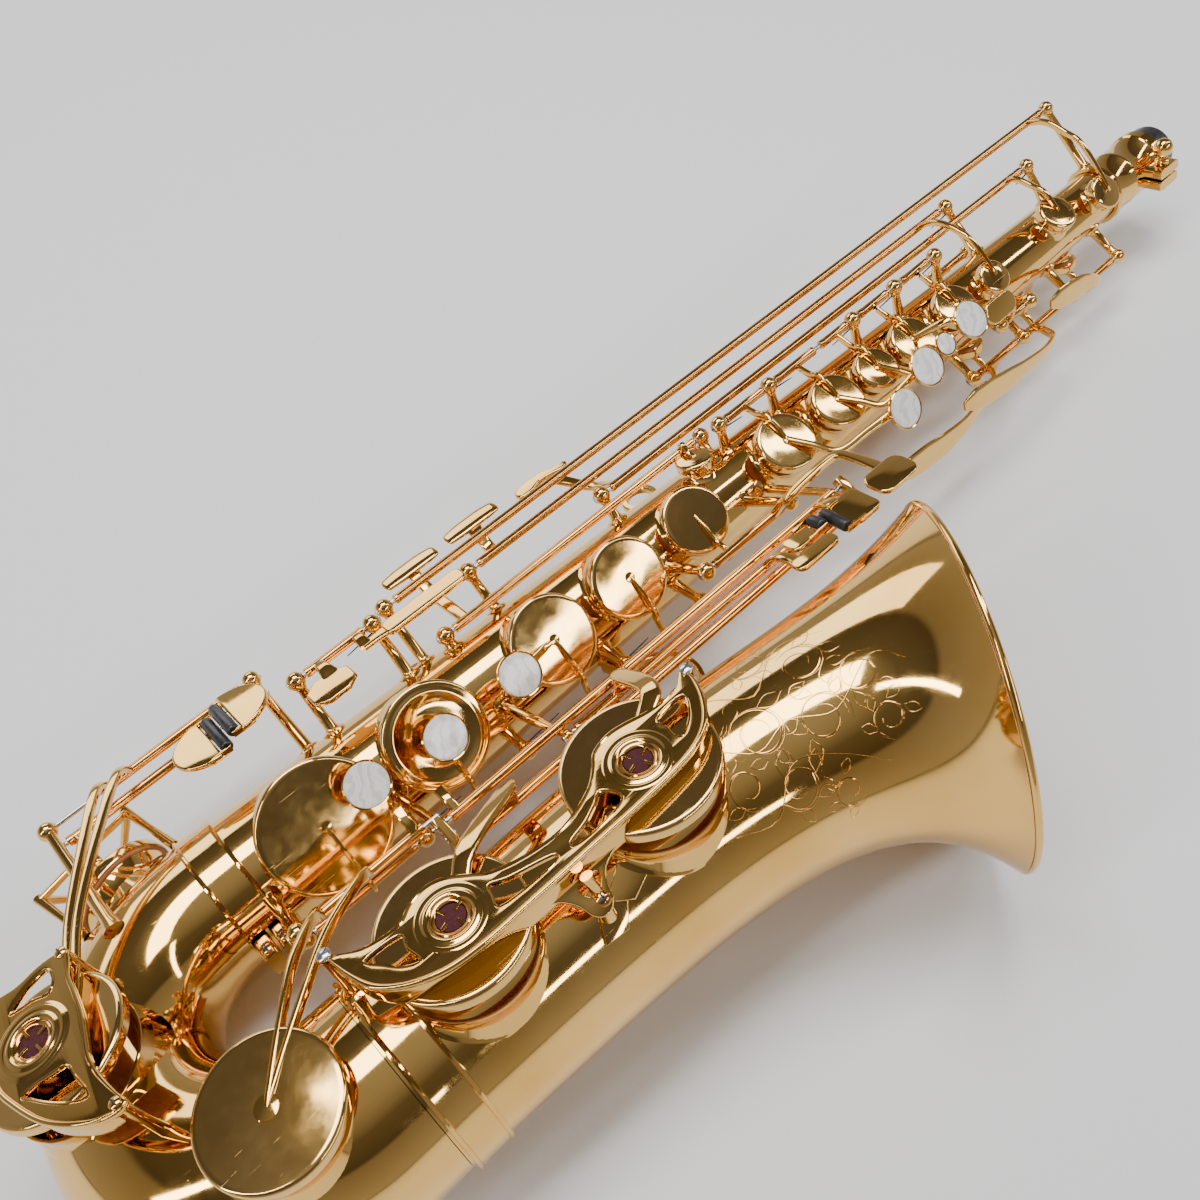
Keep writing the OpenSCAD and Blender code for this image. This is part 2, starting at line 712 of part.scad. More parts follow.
module front_f_key() lie() color(lacquer)
    key(FF, 465, 480) {
        bar(at_x(469, FF), [457, -43, 25], 3.2, 5);
        at(453, 60, 49) plate(-12, 11, -6, 6);
    }

// palm keys on the left side
module palm_key(c, x0, x1) {
    key(PK, x0, x1) {
        side_cup(c);
        bar(at_x(c[0], PK), at_x(c[0], pol(165, cup_top(c[0]))), 3.2, 4);
        children();
    }
}

module touch_bar(p, q, w = 7) bar(p, q, w, 2.6);

module palm_d_key() lie() color(lacquer)
    palm_key(PD_CUP, 453, 486) {
        touch_bar(at_x(459, PK), [457, -40, -22], 5);
        touch_bar([458, -39, -22], [396, -56, -14], 6);
        touch_bar([397, -56, -14], [354, -58, -8], 12);
    }

module palm_eb_key() lie() color(lacquer)
    palm_key(PEB_CUP, 497, 531) {
        touch_bar(at_x(502, PK), [494, -48, -18], 5);
        touch_bar([494, -48, -18], [440, -60, -4], 7);
        touch_bar([441, -60, -4], [402, -61, 4], 12);
    }

module palm_f_key() lie() color(lacquer)
    palm_key(PF_CUP, 542, 576) {
        touch_bar(at_x(547, PK), [540, -44, -10], 5);
        touch_bar([540, -44, -10], [524, -47, 0], 7);
        touch_bar([525, -47, 0], [492, -48, 6], 11);
    }

module octave_lever() lie() color(lacquer)
    key(OC, 380, 420) {
        bar(at_x(400, OC), [400, 22, -30], 5, 12);
        translate([0, 0, -31.4]) plate(384, 418, 8, 24, 2.6);
        bar(at_x(415, OC), [415, 34.5, -21.2], 4, 5);
        bar([413.5, 33.5, -20.6], [468, 33, -19], 3, 4);
    }

module octave_vent() lie() color(lacquer)
    key(OV, 490, 512) {
        side_cup(OCT_CUP);
        bar(at_x(500, OV), at_x(500, pol(OCT_CUP[1], cup_top(500))), 3, 4);
        bar(at_x(494, OV), [474, 25, -15], 3, 3);
    }

// low keys worked by the left little finger
module low_cup(r) cup(r);

module low_cs_key() lie() color(lacquer)
    key(CSK, 9, 62) {
        on_bow(CS_LOW, bow_top(CS_LOW)) low_cup(CS_LOW[2]);
        bar(at_x(14, CSK), [-4, -88, 50], 4, 3);
        bar([-4, -88, 50], [-30, -120, 49], 4, 3);
    }

module low_cs_lever() lie() color(lacquer)
    key(TCS, 71.5, 290) {
        bar(at_x(75, TCS), [75, -64, 41], 4, 3);
        bar(at_x(279, TCS), [279, -90, 44], 4, 6);
        translate([0, 0, 43]) plate(273.4, 290, -104, -86);
        roller_pin(270, -88, 45.5, 14, 1);
    }

B_OPEN = -7;
module low_b_key() lie() color(lacquer)
    swing(TB, B_OPEN) key(TB, 71.5, 290) {
        on_bell(B_LOW, bell_top(B_LOW)) low_cup(B_LOW[2]);
        bar(at_x(92, TB), [90, -92, 50], 4, 7);
        bar([90, -92, 49.5], [52, -114, 51], 4, 7);
        bar(at_x(253, TB), [253, -94, 44], 4, 5);
        translate([0, 0, 43]) plate(246, 260.4, -97, -87);
        roller_pin(263.8, -88, 45.5, 8, -1);
    }

BB_OPEN = -6;
module low_bb_key() lie() color(lacquer)
    swing(TBB, BB_OPEN) key(TBB, 131, 290) {
        on_bell(BB_LOW, bell_top(BB_LOW)) low_cup(BB_LOW[2]);
        bar(at_x(155, TBB), [153, -86, 50], 4, 7);
        bar([153, -86, 49.5], [132, -114, 55], 4, 7);
        bar(at_x(241, TBB), [241, -90, 44], 4, 4);
        bar([241, -88, 43.4], [242, -103, 44.4], 3, 5);
        translate([0, 0, 43]) plate(238, 262, -107, -99);
    }

module roller(x, y, z, len) {
    translate([x, y, z]) rotate([90, 0, 0]) rotate_extrude()
        polygon([[0.8, 0], [2.4, 0], [2.8, 1], [2.8, len - 1], [2.4, len], [0.8, len]]);
}

// axle of a roller with an ear at each end that joins it to the plate beside it
module roller_pin(x, y, z, len, side) {
    translate([x, y + 1, z]) rotate([90, 0, 0]) cylinder(h = len + 2, r = 0.75);
    for (e = [y + 0.4, y - len - 1.4])
        translate([side > 0 ? x - 1.2 : x - 9.8, e, z - 2.2]) cube([11, 1, 3.6]);
}

module cs_roller() lie() color(black) roller(270, -88, 45.5, 14);
module b_roller() lie() color(black) swing(TB, B_OPEN) roller(263.8, -88, 45.5, 8);

// right-hand side keys
module high_fs_touch() lie() color(lacquer)
    key(RT, 71, 102) {
        bar(at_x(78, RT), [78, 14, 47], 4, 4);
        translate([0, 0, 46]) linear_extrude(2.6)
            polygon([[64, 9], [70, 5], [80, 5], [86, 9], [86, 19], [80, 21], [70, 21], [64, 17]]);
        bar(at_x(98, RT), [98, 20, 47.4], 4, 5);
        bar([96, 20.5, 47.3], [112, 20.5, 47.3], 2.3, 4.6);
        translate([0, 0, 46]) plate(108, 152, 15.5, 25, 2.8);
    }

module high_fs_key() lie() color(lacquer)
    key(R1, 123, 602) {
        side_cup(HFS_CUP);
        bar(at_x(590, R1), [590, 12, 42], 4, 3);
        bar([590, 12, 42], at_x(586, pol(50, cup_top(586))), 4, 3);
    }

module high_e_key() lie() color(lacquer)
    key(R3, 238, 559) {
        side_cup(HE_CUP);
        bar(at_x(547, R3), [547, 8, 34], 4, 3);
        bar([547, 8, 34], at_x(547, pol(31, cup_top(547))), 4, 3);
        bar(at_x(243, R3), [236, 38, 27], 4, 5);
        bar([236, 38, 27], [222, 52, 36], 4, 5);
        translate([0, 0, 36]) plate(204, 236, 47, 56);
    }

module side_c_key() lie() color(lacquer)
    key(R2, 164, 499) {
        stack_cup(SC_CUP);
        bar(at_x(483, R2), [483, 14, 41], 4, 3);
        bar([483, 14, 41], [483, -2, 37], 4, 2.7);
        bar([483, -2, 37], at_x(483, pol(44, cup_top(483))), 4, 3);
        bar(at_x(178, R2), [178, 42, 28], 4, 6);
        bar([178, 41.5, 28], [178, 52, 38], 3.8, 5.5);
        translate([0, 0, 38]) plate(163, 194, 49, 59);
    }

module side_bb_key() lie() color(lacquer)
    key(RB, 134, 286) {
        side_cup(SBB_CUP);
        bar(at_x(277, RB), at_x(277, pol(-5, cup_top(277))), 4, 3);
        bar(at_x(141, RB), [141, 44, 33], 4, 6);
        bar([141, 43.5, 32.6], [141, 53, 39], 3.8, 5.5);
        translate([0, 0, 38]) plate(126, 157, 49, 59);
    }

C_OPEN = -4.5;
C_ROLLER = [33.2, 47, 46.8];
EB_ROLLER = [27.3, 46, 45.6];

// half-round touch with its straight side on the local Y axis
module half_disc(rx, ry) {
    linear_extrude(2.6)
        polygon([for (i = [0 : 18]) let (a = -90 + 10 * i) [rx * cos(a), ry * sin(a)]]);
}

module c_roller() lie() color(black)
    swing(RP, C_OPEN) roller(C_ROLLER[0], C_ROLLER[1], C_ROLLER[2], 22);

module eb_roller() lie() color(black) roller(EB_ROLLER[0], EB_ROLLER[1], EB_ROLLER[2], 22);

module low_c_key() lie() color(lacquer)
    swing(RP, C_OPEN) key(RP, -22, 48) {
        on_bow(C_LOW, bow_top(C_LOW)) low_cup(C_LOW[2]);
        bar(at_x(-18, RP), [-30, 36, 50], 5, 3);
        bar([-30, 36, 50], [-60, -16, 46.5], 4, 3);
        bar([-60, -16, 46.5], [-80, -48, 43.5], 4, 3);
        bar(at_x(42, RP), [42, 44, 47], 4, 4);
        translate([36.4, 36, 46]) half_disc(18, 14.4);
        roller_pin(C_ROLLER[0], C_ROLLER[1], C_ROLLER[2], 22, 1);
    }

module low_eb_key() lie() color(lacquer)
    key(RPE, -44.5, 26) {
        on_bow(EB_LOW, bow_top(EB_LOW)) low_cup(EB_LOW[2]);
        on_bow(EB_LOW, bow_rad(EB_LOW[0])) {
            bar([0, -21.4, 11.6], [0, 3, 11.2], 4, 2.2);
        }
        bar(at_x(-41.5, RPE), [-39.7, 33.8, 28.6], 4, 3);
        bar(at_x(20, RPE), [20, 40, 45], 4, 4);
        translate([24, 35, 44]) half_disc(-17.4, 13.4);
        roller_pin(EB_ROLLER[0], EB_ROLLER[1], EB_ROLLER[2], 22, -1);
    }

body_tube();
bow();
bell();
bell_rim();
low_tone_holes();
body_bow_ring();
bow_bell_ring();
bell_brace();
neck_receiver();
strap_ring();
thumb_hook();
thumb_rest();
bell_key_guard();
low_c_guard();
low_eb_guard();
guard_felts();
guard_screws();
bow_guard_strip();
stack_posts();
key_posts();
hinge_rods();
receiver_screw();
end_plug();
octave_lever();
octave_vent();
front_f_key();
palm_d_key();
palm_eb_key();
palm_f_key();
lh1_key();
lh1_pearl();
c_vent_key();
bis_key();
lh2_key();
lh2_pearl();
lh3_key();
lh3_pearl();
g_sharp_key();
low_cs_lever();
low_cs_key();
low_b_key();
low_bb_key();
cs_roller();
b_roller();
rh1_key();
rh1_pearl();
f_sharp_key();
rh2_key();
rh2_pearl();
rh3_key();
rh3_pearl();
high_fs_touch();
high_fs_key();
high_e_key();
side_c_key();
side_bb_key();
low_c_key();
c_roller();
low_eb_key();
eb_roller();
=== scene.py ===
import json
import bpy
import bmesh
from math import asin, atan, atan2, copysign, cos, degrees, hypot, inf, pi, radians, sin, sqrt
from mathutils import Matrix, Vector


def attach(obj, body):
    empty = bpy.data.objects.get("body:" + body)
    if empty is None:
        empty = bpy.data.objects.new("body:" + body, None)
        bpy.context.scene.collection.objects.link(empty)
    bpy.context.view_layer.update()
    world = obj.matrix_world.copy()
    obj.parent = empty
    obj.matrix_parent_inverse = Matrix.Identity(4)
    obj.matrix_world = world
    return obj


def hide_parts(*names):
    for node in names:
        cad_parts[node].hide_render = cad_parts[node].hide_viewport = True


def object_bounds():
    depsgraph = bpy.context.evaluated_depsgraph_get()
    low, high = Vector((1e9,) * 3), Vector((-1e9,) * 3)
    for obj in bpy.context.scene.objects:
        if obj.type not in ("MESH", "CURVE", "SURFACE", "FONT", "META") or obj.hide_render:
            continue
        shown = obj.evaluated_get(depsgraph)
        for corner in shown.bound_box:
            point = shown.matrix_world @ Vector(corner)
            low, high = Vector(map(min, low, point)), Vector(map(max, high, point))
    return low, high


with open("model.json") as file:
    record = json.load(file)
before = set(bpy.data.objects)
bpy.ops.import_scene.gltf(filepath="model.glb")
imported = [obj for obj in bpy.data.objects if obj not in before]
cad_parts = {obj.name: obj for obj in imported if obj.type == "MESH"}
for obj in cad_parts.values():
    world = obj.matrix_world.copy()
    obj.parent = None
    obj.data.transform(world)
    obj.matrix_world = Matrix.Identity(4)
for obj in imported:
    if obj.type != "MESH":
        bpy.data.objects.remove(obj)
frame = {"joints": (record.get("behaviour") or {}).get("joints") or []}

cad_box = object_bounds()
joints = {j["name"]: j for j in frame["joints"]}

# ---------------------------------------------------------------- horn frame
# Horn frame in millimetres: +X up the body tube, bell towards -Y, +Z the player's right side.
hx = Vector(joints["rh1_hinge"]["axis"]).normalized()
hz = Vector(joints["receiver_screw_turn"]["axis"]).normalized()
hy = hz.cross(hx)
HR = Matrix((hx, hy, hz)).transposed()
SCREW = Vector((637, -21, 0))
origin = Vector(joints["receiver_screw_turn"]["pos_m"]) - HR @ SCREW * 0.001
HORN = Matrix.Translation(origin) @ (HR * 0.001).to_4x4()
HORN[3][3] = 1.0


def rot(axis, deg):
    return Matrix.Rotation(radians(deg), 4, axis)


def lift(h):
    return Vector((0, 0, h))


def tr(x, y, z):
    return Matrix.Translation((x, y, z))


R_LOW, R_TOP, LEN = 30.0, 14.6, 612.0
TAPER = (R_LOW - R_TOP) / LEN
TAPER_DEG = degrees(atan(TAPER))
PHI = 44.0
BOW_R, STRAIGHT = 61.0, 16.0
BELL_LEN = 257          # from the bow-to-bell ring to the rim
STUD_X = 548            # rest stud on the hidden side
AXIS_Y = -2 * BOW_R
GAP, CHIM, INSET, CUP_H = 0.25, 3.0, 3.6, 6.5
PAD_SEAT = 4.25         # underside of a bow or bell pad above the metal


def rb(x):
    return R_LOW - TAPER * x


def pol(phi, r):
    a = radians(phi)
    return (-r * sin(a), r * cos(a))


def cup_top(x):
    return rb(x) + CHIM + GAP + CUP_H


def bell_y(x):
    return AXIS_Y - 43 * (max(x, 0) / BELL_LEN) ** 3.9


def bell_slope(x):
    return -degrees(atan(3.9 * 43 / BELL_LEN * (max(x, 0) / BELL_LEN) ** 2.9))


def bell_rad(x):
    t = max(x, 0) / BELL_LEN
    return 39 + 8 * t + 29 * t ** 9


def bow_rad(a):
    return 30.6 + 8.4 * a / 180


def at(x, phi, r=0.0):
    return tr(x, 0, 0) @ rot("X", phi) @ tr(0, 0, r) @ rot("Y", TAPER_DEG)


def bow_frame(a):
    """Centre of the bow's tube at the angle a along the bend."""
    return tr(-STRAIGHT, -BOW_R, 0) @ rot("Z", a) @ tr(0, BOW_R, 0)


def on_bow(c, r):
    return bow_frame(c[0]) @ rot("X", -c[1]) @ tr(0, 0, r)


def on_bell(c, r):
    return tr(c[0], bell_y(c[0]), 0) @ rot("X", c[1]) @ tr(0, 0, r)


def swing(line, a):
    return tr(0, line[0], line[1]) @ rot("X", a) @ tr(0, -line[0], -line[1])


def sh(s, h):
    c, n = cos(radians(PHI)), sin(radians(PHI))
    return (-s * c - h * n, -s * n + h * c)


STACK_UP = (0, *pol(PHI, 1))
LS, US = (-43, -1), (4, 37)
TB, TBB, TCS, CSK = (-84, 30), (-79.5, 33.2), (-75, 36.4), (-68, 34)
TG, RP, RPE = (-52, 24), (57, 40), (51, 34)
R1, R2, R3, RB, RT = (37, 44), (30, 37), (20, 33), (12, 31), (30, 47)
PK, FF, OC, OV = (-29, -22), (-38, 8), (26, -16), (25, 4)

STACK = dict(D=(36, 28), E=(93, 23.5), F=(159, 20.5), FS=(205, 19), GS=(252, 17), G=(314, 15.5),
             A=(352, 14.5), BIS=(382, 12), B=(411, 13), C=(446, 12.5), SC=(483, 9.5))
SIDE = dict(HE=(547, 31, 11), HFS=(585, 50, 10), SBB=(277, -5, 9.5), PD=(470, 165, 10.5),
            PEB=(515, 165, 10), PF=(560, 165, 9.5), OCT=(500, -120, 4.5))
C_LOW, CS_LOW, EB_LOW = (82, 6, 28), (163, 9, 26), (14, 78, 23)
B_LOW, BB_LOW = (42, 8, 28.5), (127, 8, 30)
GUARD_Z = 62.0
C_GUARD_UP = 24         # low C guard above the bow's metal
CS_ROLLER, B_ROLLER = (270, -88, 45.5, 14), (263.8, -88, 45.5, 8)
C_ROLLER, EB_ROLLER = (33.2, 47, 46.8, 22), (27.3, 46, 45.6, 22)
B_SWING, BB_SWING, C_SWING = -7, -6, -4.5
SCROLLS_AT = (172, 18)
OPEN = 10.0


# ---------------------------------------------------------------- materials
def new_mat(name):
    m = bpy.data.materials.new(name)
    m.use_nodes = True
    nt = m.node_tree
    return m, nt, nt.nodes["Principled BSDF"]


def link(nt, out, into):
    nt.links.new(out, into)


def node(nt, kind, **kw):
    n = nt.nodes.new(kind)
    for k, v in kw.items():
        if hasattr(n, k):
            setattr(n, k, v)
        else:
            n.inputs[k.replace("_", " ")].default_value = v
    return n


def ramp(nt, src, stops):
    r = nt.nodes.new("ShaderNodeValToRGB")
    while len(r.color_ramp.elements) < len(stops):
        r.color_ramp.elements.new(0.5)
    for e, (p, c) in zip(r.color_ramp.elements, stops):
        e.position = p
        e.color = c if len(c) == 4 else (*c, 1)
    link(nt, src, r.inputs[0])
    return r.outputs["Color"]


def grey(v):
    return (v, v, v, 1)


def coords(nt, scale=(1, 1, 1), turn=(0, 0, 0)):
    tc = nt.nodes.new("ShaderNodeTexCoord")
    mp = nt.nodes.new("ShaderNodeMapping")
    mp.inputs["Scale"].default_value = scale
    mp.inputs["Rotation"].default_value = turn
    link(nt, tc.outputs["Object"], mp.inputs["Vector"])
    return mp.outputs["Vector"]


def bumpy(nt, p, src, strength, distance):
    b = node(nt, "ShaderNodeBump")
    b.inputs["Strength"].default_value = strength
    b.inputs["Distance"].default_value = distance
    link(nt, src, b.inputs["Height"])
    link(nt, b.outputs["Normal"], p.inputs["Normal"])


def metal(name, light, dark, rough=(0.05, 0.16), scratch=0.35, bump=0.02):
    m, nt, p = new_mat(name)
    p.inputs["Metallic"].default_value = 1.0
    big = node(nt, "ShaderNodeTexNoise", Scale=22.0, Detail=5.0)
    link(nt, coords(nt), big.inputs["Vector"])
    col = ramp(nt, big.outputs["Fac"], [(0.32, dark), (0.62, light)])
    link(nt, col, p.inputs["Base Color"])
    fine = node(nt, "ShaderNodeTexNoise", Scale=160.0, Detail=8.0, Roughness=0.7)
    link(nt, coords(nt), fine.inputs["Vector"])
    lines = []
    for turn in ((0.3, 0.2, 0.9), (1.1, 0.5, -0.7)):
        s = node(nt, "ShaderNodeTexNoise", Scale=30.0, Detail=2.0)
        link(nt, coords(nt, (0.5, 30.0, 20.0), turn), s.inputs["Vector"])
        lines.append(ramp(nt, s.outputs["Fac"], [(0.0, grey(0)), (0.735, grey(0)), (0.755, grey(1)),
            (0.775, grey(0))]))
    add = node(nt, "ShaderNodeMix", data_type="RGBA", blend_type="ADD")
    add.inputs[0].default_value = 1.0
    link(nt, lines[0], add.inputs[6])
    link(nt, lines[1], add.inputs[7])
    rough_col = ramp(nt, fine.outputs["Fac"], [(0.3, grey(rough[0])), (0.75, grey(rough[1]))])
    mix = node(nt, "ShaderNodeMix", data_type="RGBA", blend_type="ADD")
    mix.inputs[0].default_value = scratch
    link(nt, rough_col, mix.inputs[6])
    link(nt, add.outputs[2], mix.inputs[7])
    link(nt, mix.outputs[2], p.inputs["Roughness"])
    bumpy(nt, p, mix.outputs[2], bump, 0.0004)
    return m


GOLD = metal("lacquered_brass", (0.86, 0.54, 0.17), (0.80, 0.46, 0.12), (0.035, 0.11), 0.16)
GOLD_FLAT = metal("lacquered_brass_cups", (0.86, 0.56, 0.20), (0.79, 0.47, 0.14), (0.045, 0.13), 0.3, 0.03)
GOLD_DEEP = metal("lacquered_brass_rods_and_groove_shade", (0.80, 0.42, 0.12), (0.68, 0.30, 0.07), (0.06, 0.16), 0.15)
CHROME = metal("steel_screws", (0.72, 0.73, 0.75), (0.58, 0.59, 0.61), (0.12, 0.3), 0.3)


def plain(name, light, dark, scale, rough, bump, dist=0.0003, detail=6.0):
    m, nt, p = new_mat(name)
    n = node(nt, "ShaderNodeTexNoise", Scale=scale, Detail=detail)
    link(nt, coords(nt), n.inputs["Vector"])
    link(nt, ramp(nt, n.outputs["Fac"], [(0.3, dark), (0.7, light)]), p.inputs["Base Color"])
    link(nt, ramp(nt, n.outputs["Fac"], [(0.2, grey(rough[0])), (0.8, grey(rough[1]))]),
        p.inputs["Roughness"])
    bumpy(nt, p, n.outputs["Fac"], bump, dist)
    return m


def nacre():
    m, nt, p = new_mat("mother_of_pearl")
    w = node(nt, "ShaderNodeTexWave", Scale=60.0, Distortion=9.0, Detail=4.0)
    w.inputs["Detail Scale"].default_value = 1.5
    link(nt, coords(nt, (1, 1.6, 0.7), (0.4, 0.2, 0.6)), w.inputs["Vector"])
    link(nt, ramp(nt, w.outputs["Fac"], [(0.0, (0.66, 0.66, 0.63)), (0.45, (0.84, 0.83, 0.79)),
                                              (0.8, (0.90, 0.88, 0.83)), (1.0, (0.78, 0.80, 0.80))]),
                 p.inputs["Base Color"])
    p.inputs["Roughness"].default_value = 0.22
    p.inputs["Coat Weight"].default_value = 0.5
    p.inputs["Coat Roughness"].default_value = 0.08
    bumpy(nt, p, w.outputs["Fac"], 0.06, 0.0003)
    return m


PEARL = nacre()
BLACK = plain("black_rubber_and_slot_shade", (0.030, 0.030, 0.034), (0.012, 0.012, 0.014), 400, (0.22, 0.42), 0.12)
FELT = plain("red_felt", (0.085, 0.010, 0.014), (0.030, 0.003, 0.005), 900, (0.85, 1.0), 0.8, 0.0006)
LEATHER = plain("pad_leather", (0.46, 0.21, 0.09), (0.30, 0.11, 0.04), 320, (0.45, 0.7), 0.35)
BLUED = metal("blued_spring", (0.10, 0.13, 0.28), (0.05, 0.06, 0.14), (0.15, 0.3), 0.2)
MATS = [GOLD, GOLD_FLAT, GOLD_DEEP, CHROME, PEARL, BLACK, FELT, LEATHER, BLUED]
G, GF, GD, CH, PE, BK, FE, LE, BL = range(9)


# ---------------------------------------------------------------- mesh building
def smooth_path(pts, n=6, closed=False):
    pts = [Vector(p) for p in pts]
    out = []
    k = len(pts)
    last = k if closed else k - 1
    for i in range(last):
        if closed:
            p0, p1, p2, p3 = pts[i - 1], pts[i], pts[(i + 1) % k], pts[(i + 2) % k]
        else:
            p1, p2 = pts[i], pts[i + 1]
            p0 = pts[i - 1] if i else p1 + (p1 - p2)
            p3 = pts[i + 2] if i + 2 < k else p2 + (p2 - p1)
        for j in range(n):
            t = j / n
            out.append(0.5 * ((2 * p1) + (p2 - p0) * t + (2 * p0 - 5 * p1 + 4 * p2 - p3) * t * t
                              + (3 * p1 - p0 - 3 * p2 + p3) * t ** 3))
    if not closed:
        out.append(pts[-1])
    return out


def spread(vals, count):
    """Values along a path, resampled to count points."""
    if isinstance(vals, (int, float)):
        return [vals] * count
    out = []
    for i in range(count):
        t = i / (count - 1) * (len(vals) - 1)
        a = min(int(t), len(vals) - 2)
        out.append(vals[a] + (vals[a + 1] - vals[a]) * (t - a))
    return out


def circle(r, seg, start=0.0):
    return [(r * cos(start + 2 * pi * j / seg), r * sin(start + 2 * pi * j / seg))
            for j in range(seg)]


class Shape:
    def __init__(self):
        self.v, self.f, self.m = [], [], []

    def add(self, verts, faces, mat, mtx=None):
        b = len(self.v)
        self.v += [(mtx @ Vector(p)) if mtx else Vector(p) for p in verts]
        self.f += [[b + i for i in f] for f in faces]
        self.m += [mat] * len(faces)

    def grid(self, rings, mat, mtx=None, close_u=True, caps=True):
        verts = [p for r in rings for p in r]
        n, k = len(rings), len(rings[0])
        faces = []
        for i in range(n - 1):
            for j in range(k if close_u else k - 1):
                j2 = (j + 1) % k
                faces.append((i * k + j, i * k + j2, (i + 1) * k + j2, (i + 1) * k + j))
        if caps:
            faces.append(tuple(range(k))[::-1])
            faces.append(tuple((n - 1) * k + j for j in range(k)))
        self.add(verts, faces, mat, mtx)

    def lathe(self, prof, mat, mtx=None, seg=40):
        """A closed turned body; prof is a list of (r, z) from the axis or a closed loop off the axis."""
        verts, idx = [], []
        for r, z in prof:
            if r < 1e-6:
                idx.append([len(verts)])
                verts.append((0, 0, z))
            else:
                idx.append(list(range(len(verts), len(verts) + seg)))
                verts += [(x, y, z) for x, y in circle(r, seg)]
        faces = []
        pairs = list(zip(idx, idx[1:]))
        if prof[0][0] > 1e-6:
            pairs.append((idx[-1], idx[0]))
        for a, b in pairs:
            for j in range(seg):
                j2 = (j + 1) % seg
                if len(a) == 1 and len(b) == 1:
                    break
                if len(a) == 1:
                    faces.append((a[0], b[j], b[j2]))
                elif len(b) == 1:
                    faces.append((a[j], b[0], a[j2]))
                else:
                    faces.append((a[j], b[j], b[j2], a[j2]))
        self.add(verts, faces, mat, mtx)

    def sweep(self, pts, section, mat, up, mtx=None):
        """section(i) gives the (side, up) outline at point i."""
        pts = [Vector(p) for p in pts]
        rings = []
        n = len(pts)
        for i, p in enumerate(pts):
            t = (pts[min(i + 1, n - 1)] - pts[max(i - 1, 0)]).normalized()
            u = Vector(up[i]) if isinstance(up, list) else Vector(up)
            s = t.cross(u)
            if s.length < 1e-4:
                s = t.cross(Vector((0.3, 0.5, 0.8)))
            s.normalize()
            w = s.cross(t).normalized()
            rings.append([p + s * a + w * b for a, b in section(i)])
        self.grid(rings, mat, mtx)

    def tube(self, pts, r, mat, seg=14, mtx=None, up=(0.13, 0.31, 0.94)):
        rr = spread(r, len(pts))
        self.sweep(pts, lambda i: circle(rr[i], seg), mat, up, mtx)

    def ribbon(self, pts, w, h, up, mat, mtx=None, seg=16, sq=0.45):
        ww, hh = spread(w, len(pts)), spread(h, len(pts))

        def sec(i):
            out = []
            for j in range(seg):
                a = 2 * pi * (j + 0.5) / seg
                c, s = cos(a), sin(a)
                out.append((ww[i] / 2 * copysign(abs(c) ** sq, c), hh[i] / 2 * copysign(abs(s) ** sq, s)))
            return out
        self.sweep(pts, sec, mat, up, mtx)

    def plate(self, outline, t, mat, mtx=None, bevel=0.5, holes=(), smooth=True, res=2):
        cu = bpy.data.curves.new("tmp", "CURVE")
        cu.dimensions = "2D"
        cu.fill_mode = "BOTH"
        cu.extrude = t / 2 - bevel
        cu.bevel_depth = bevel
        cu.bevel_resolution = res
        cu.offset = -bevel
        for ring in [outline] + list(holes):
            pts = smooth_path([(x, y, 0) for x, y in ring], 5,
                True) if smooth else [Vector((x, y, 0)) for x, y in ring]
            sp = cu.splines.new("POLY")
            sp.points.add(len(pts) - 1)
            for q, p in zip(sp.points, pts):
                q.co = (p.x, p.y, 0, 1)
            sp.use_cyclic_u = True
        ob = bpy.data.objects.new("tmp", cu)
        bpy.context.scene.collection.objects.link(ob)
        me = ob.to_mesh()
        verts = [(p.co.x, p.co.y, p.co.z + t / 2) for p in me.vertices]
        faces = [tuple(f.vertices) for f in me.polygons]
        ob.to_mesh_clear()
        bpy.data.objects.remove(ob)
        bpy.data.curves.remove(cu)
        self.add(verts, faces, mat, mtx)

    def make(self, name, body, replaces=(), sharp=38, pose=None):
        me = bpy.data.meshes.new(name)
        m = HORN @ pose if pose else HORN
        me.from_pydata([m @ p for p in self.v], [], self.f)
        used = sorted(set(self.m))
        for k in used:
            me.materials.append(MATS[k])
        me.polygons.foreach_set("material_index", [used.index(k) for k in self.m])
        bm = bmesh.new()
        bm.from_mesh(me)
        bmesh.ops.remove_doubles(bm, verts=bm.verts, dist=2e-6)
        bmesh.ops.dissolve_degenerate(bm, edges=bm.edges, dist=1e-7)
        bmesh.ops.recalc_face_normals(bm, faces=bm.faces)
        bm.to_mesh(me)
        bm.free()
        me.polygons.foreach_set("use_smooth", [True] * len(me.polygons))
        me.set_sharp_from_angle(angle=radians(sharp))
        ob = bpy.data.objects.new(name, me)
        bpy.context.scene.collection.objects.link(ob)
        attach(ob, body)
        if replaces:
            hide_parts(*replaces)

    def stand_for(self, node, body="horn", sharp=38, pose=None):
        """The piece that is shown in place of one CAD node."""
        self.make(node + "_v", body, [node], sharp, pose)


def at_x(x, p):
    return Vector((x, p[0], p[1]))


def stub(s, x0, x1, line, r, mat, seg=18, ends=0.25):
    """Straight round bar along the horn with eased ends."""
    m = tr(x0, line[0], line[1]) @ rot("Y", 90)
    n = x1 - x0
    s.lathe([(0, 0), (r - ends, 0), (r, ends), (r, n - ends), (r - ends, n), (0, n)], mat, m, seg)


def hinge(s, line, x0, x1):
    """Hinge tube with a slim collar at each end."""
    m = tr(x0, line[0], line[1]) @ rot("Y", 90)
    n = x1 - x0
    s.lathe([(1.15, 0), (2.05, 0), (2.3, 0.25), (2.3, 2.2), (2.18, 2.5), (2.18, n - 2.5), (2.3, n - 2.2),
             (2.3, n - 0.25), (2.05, n), (1.15, n)], GD, m, 20)


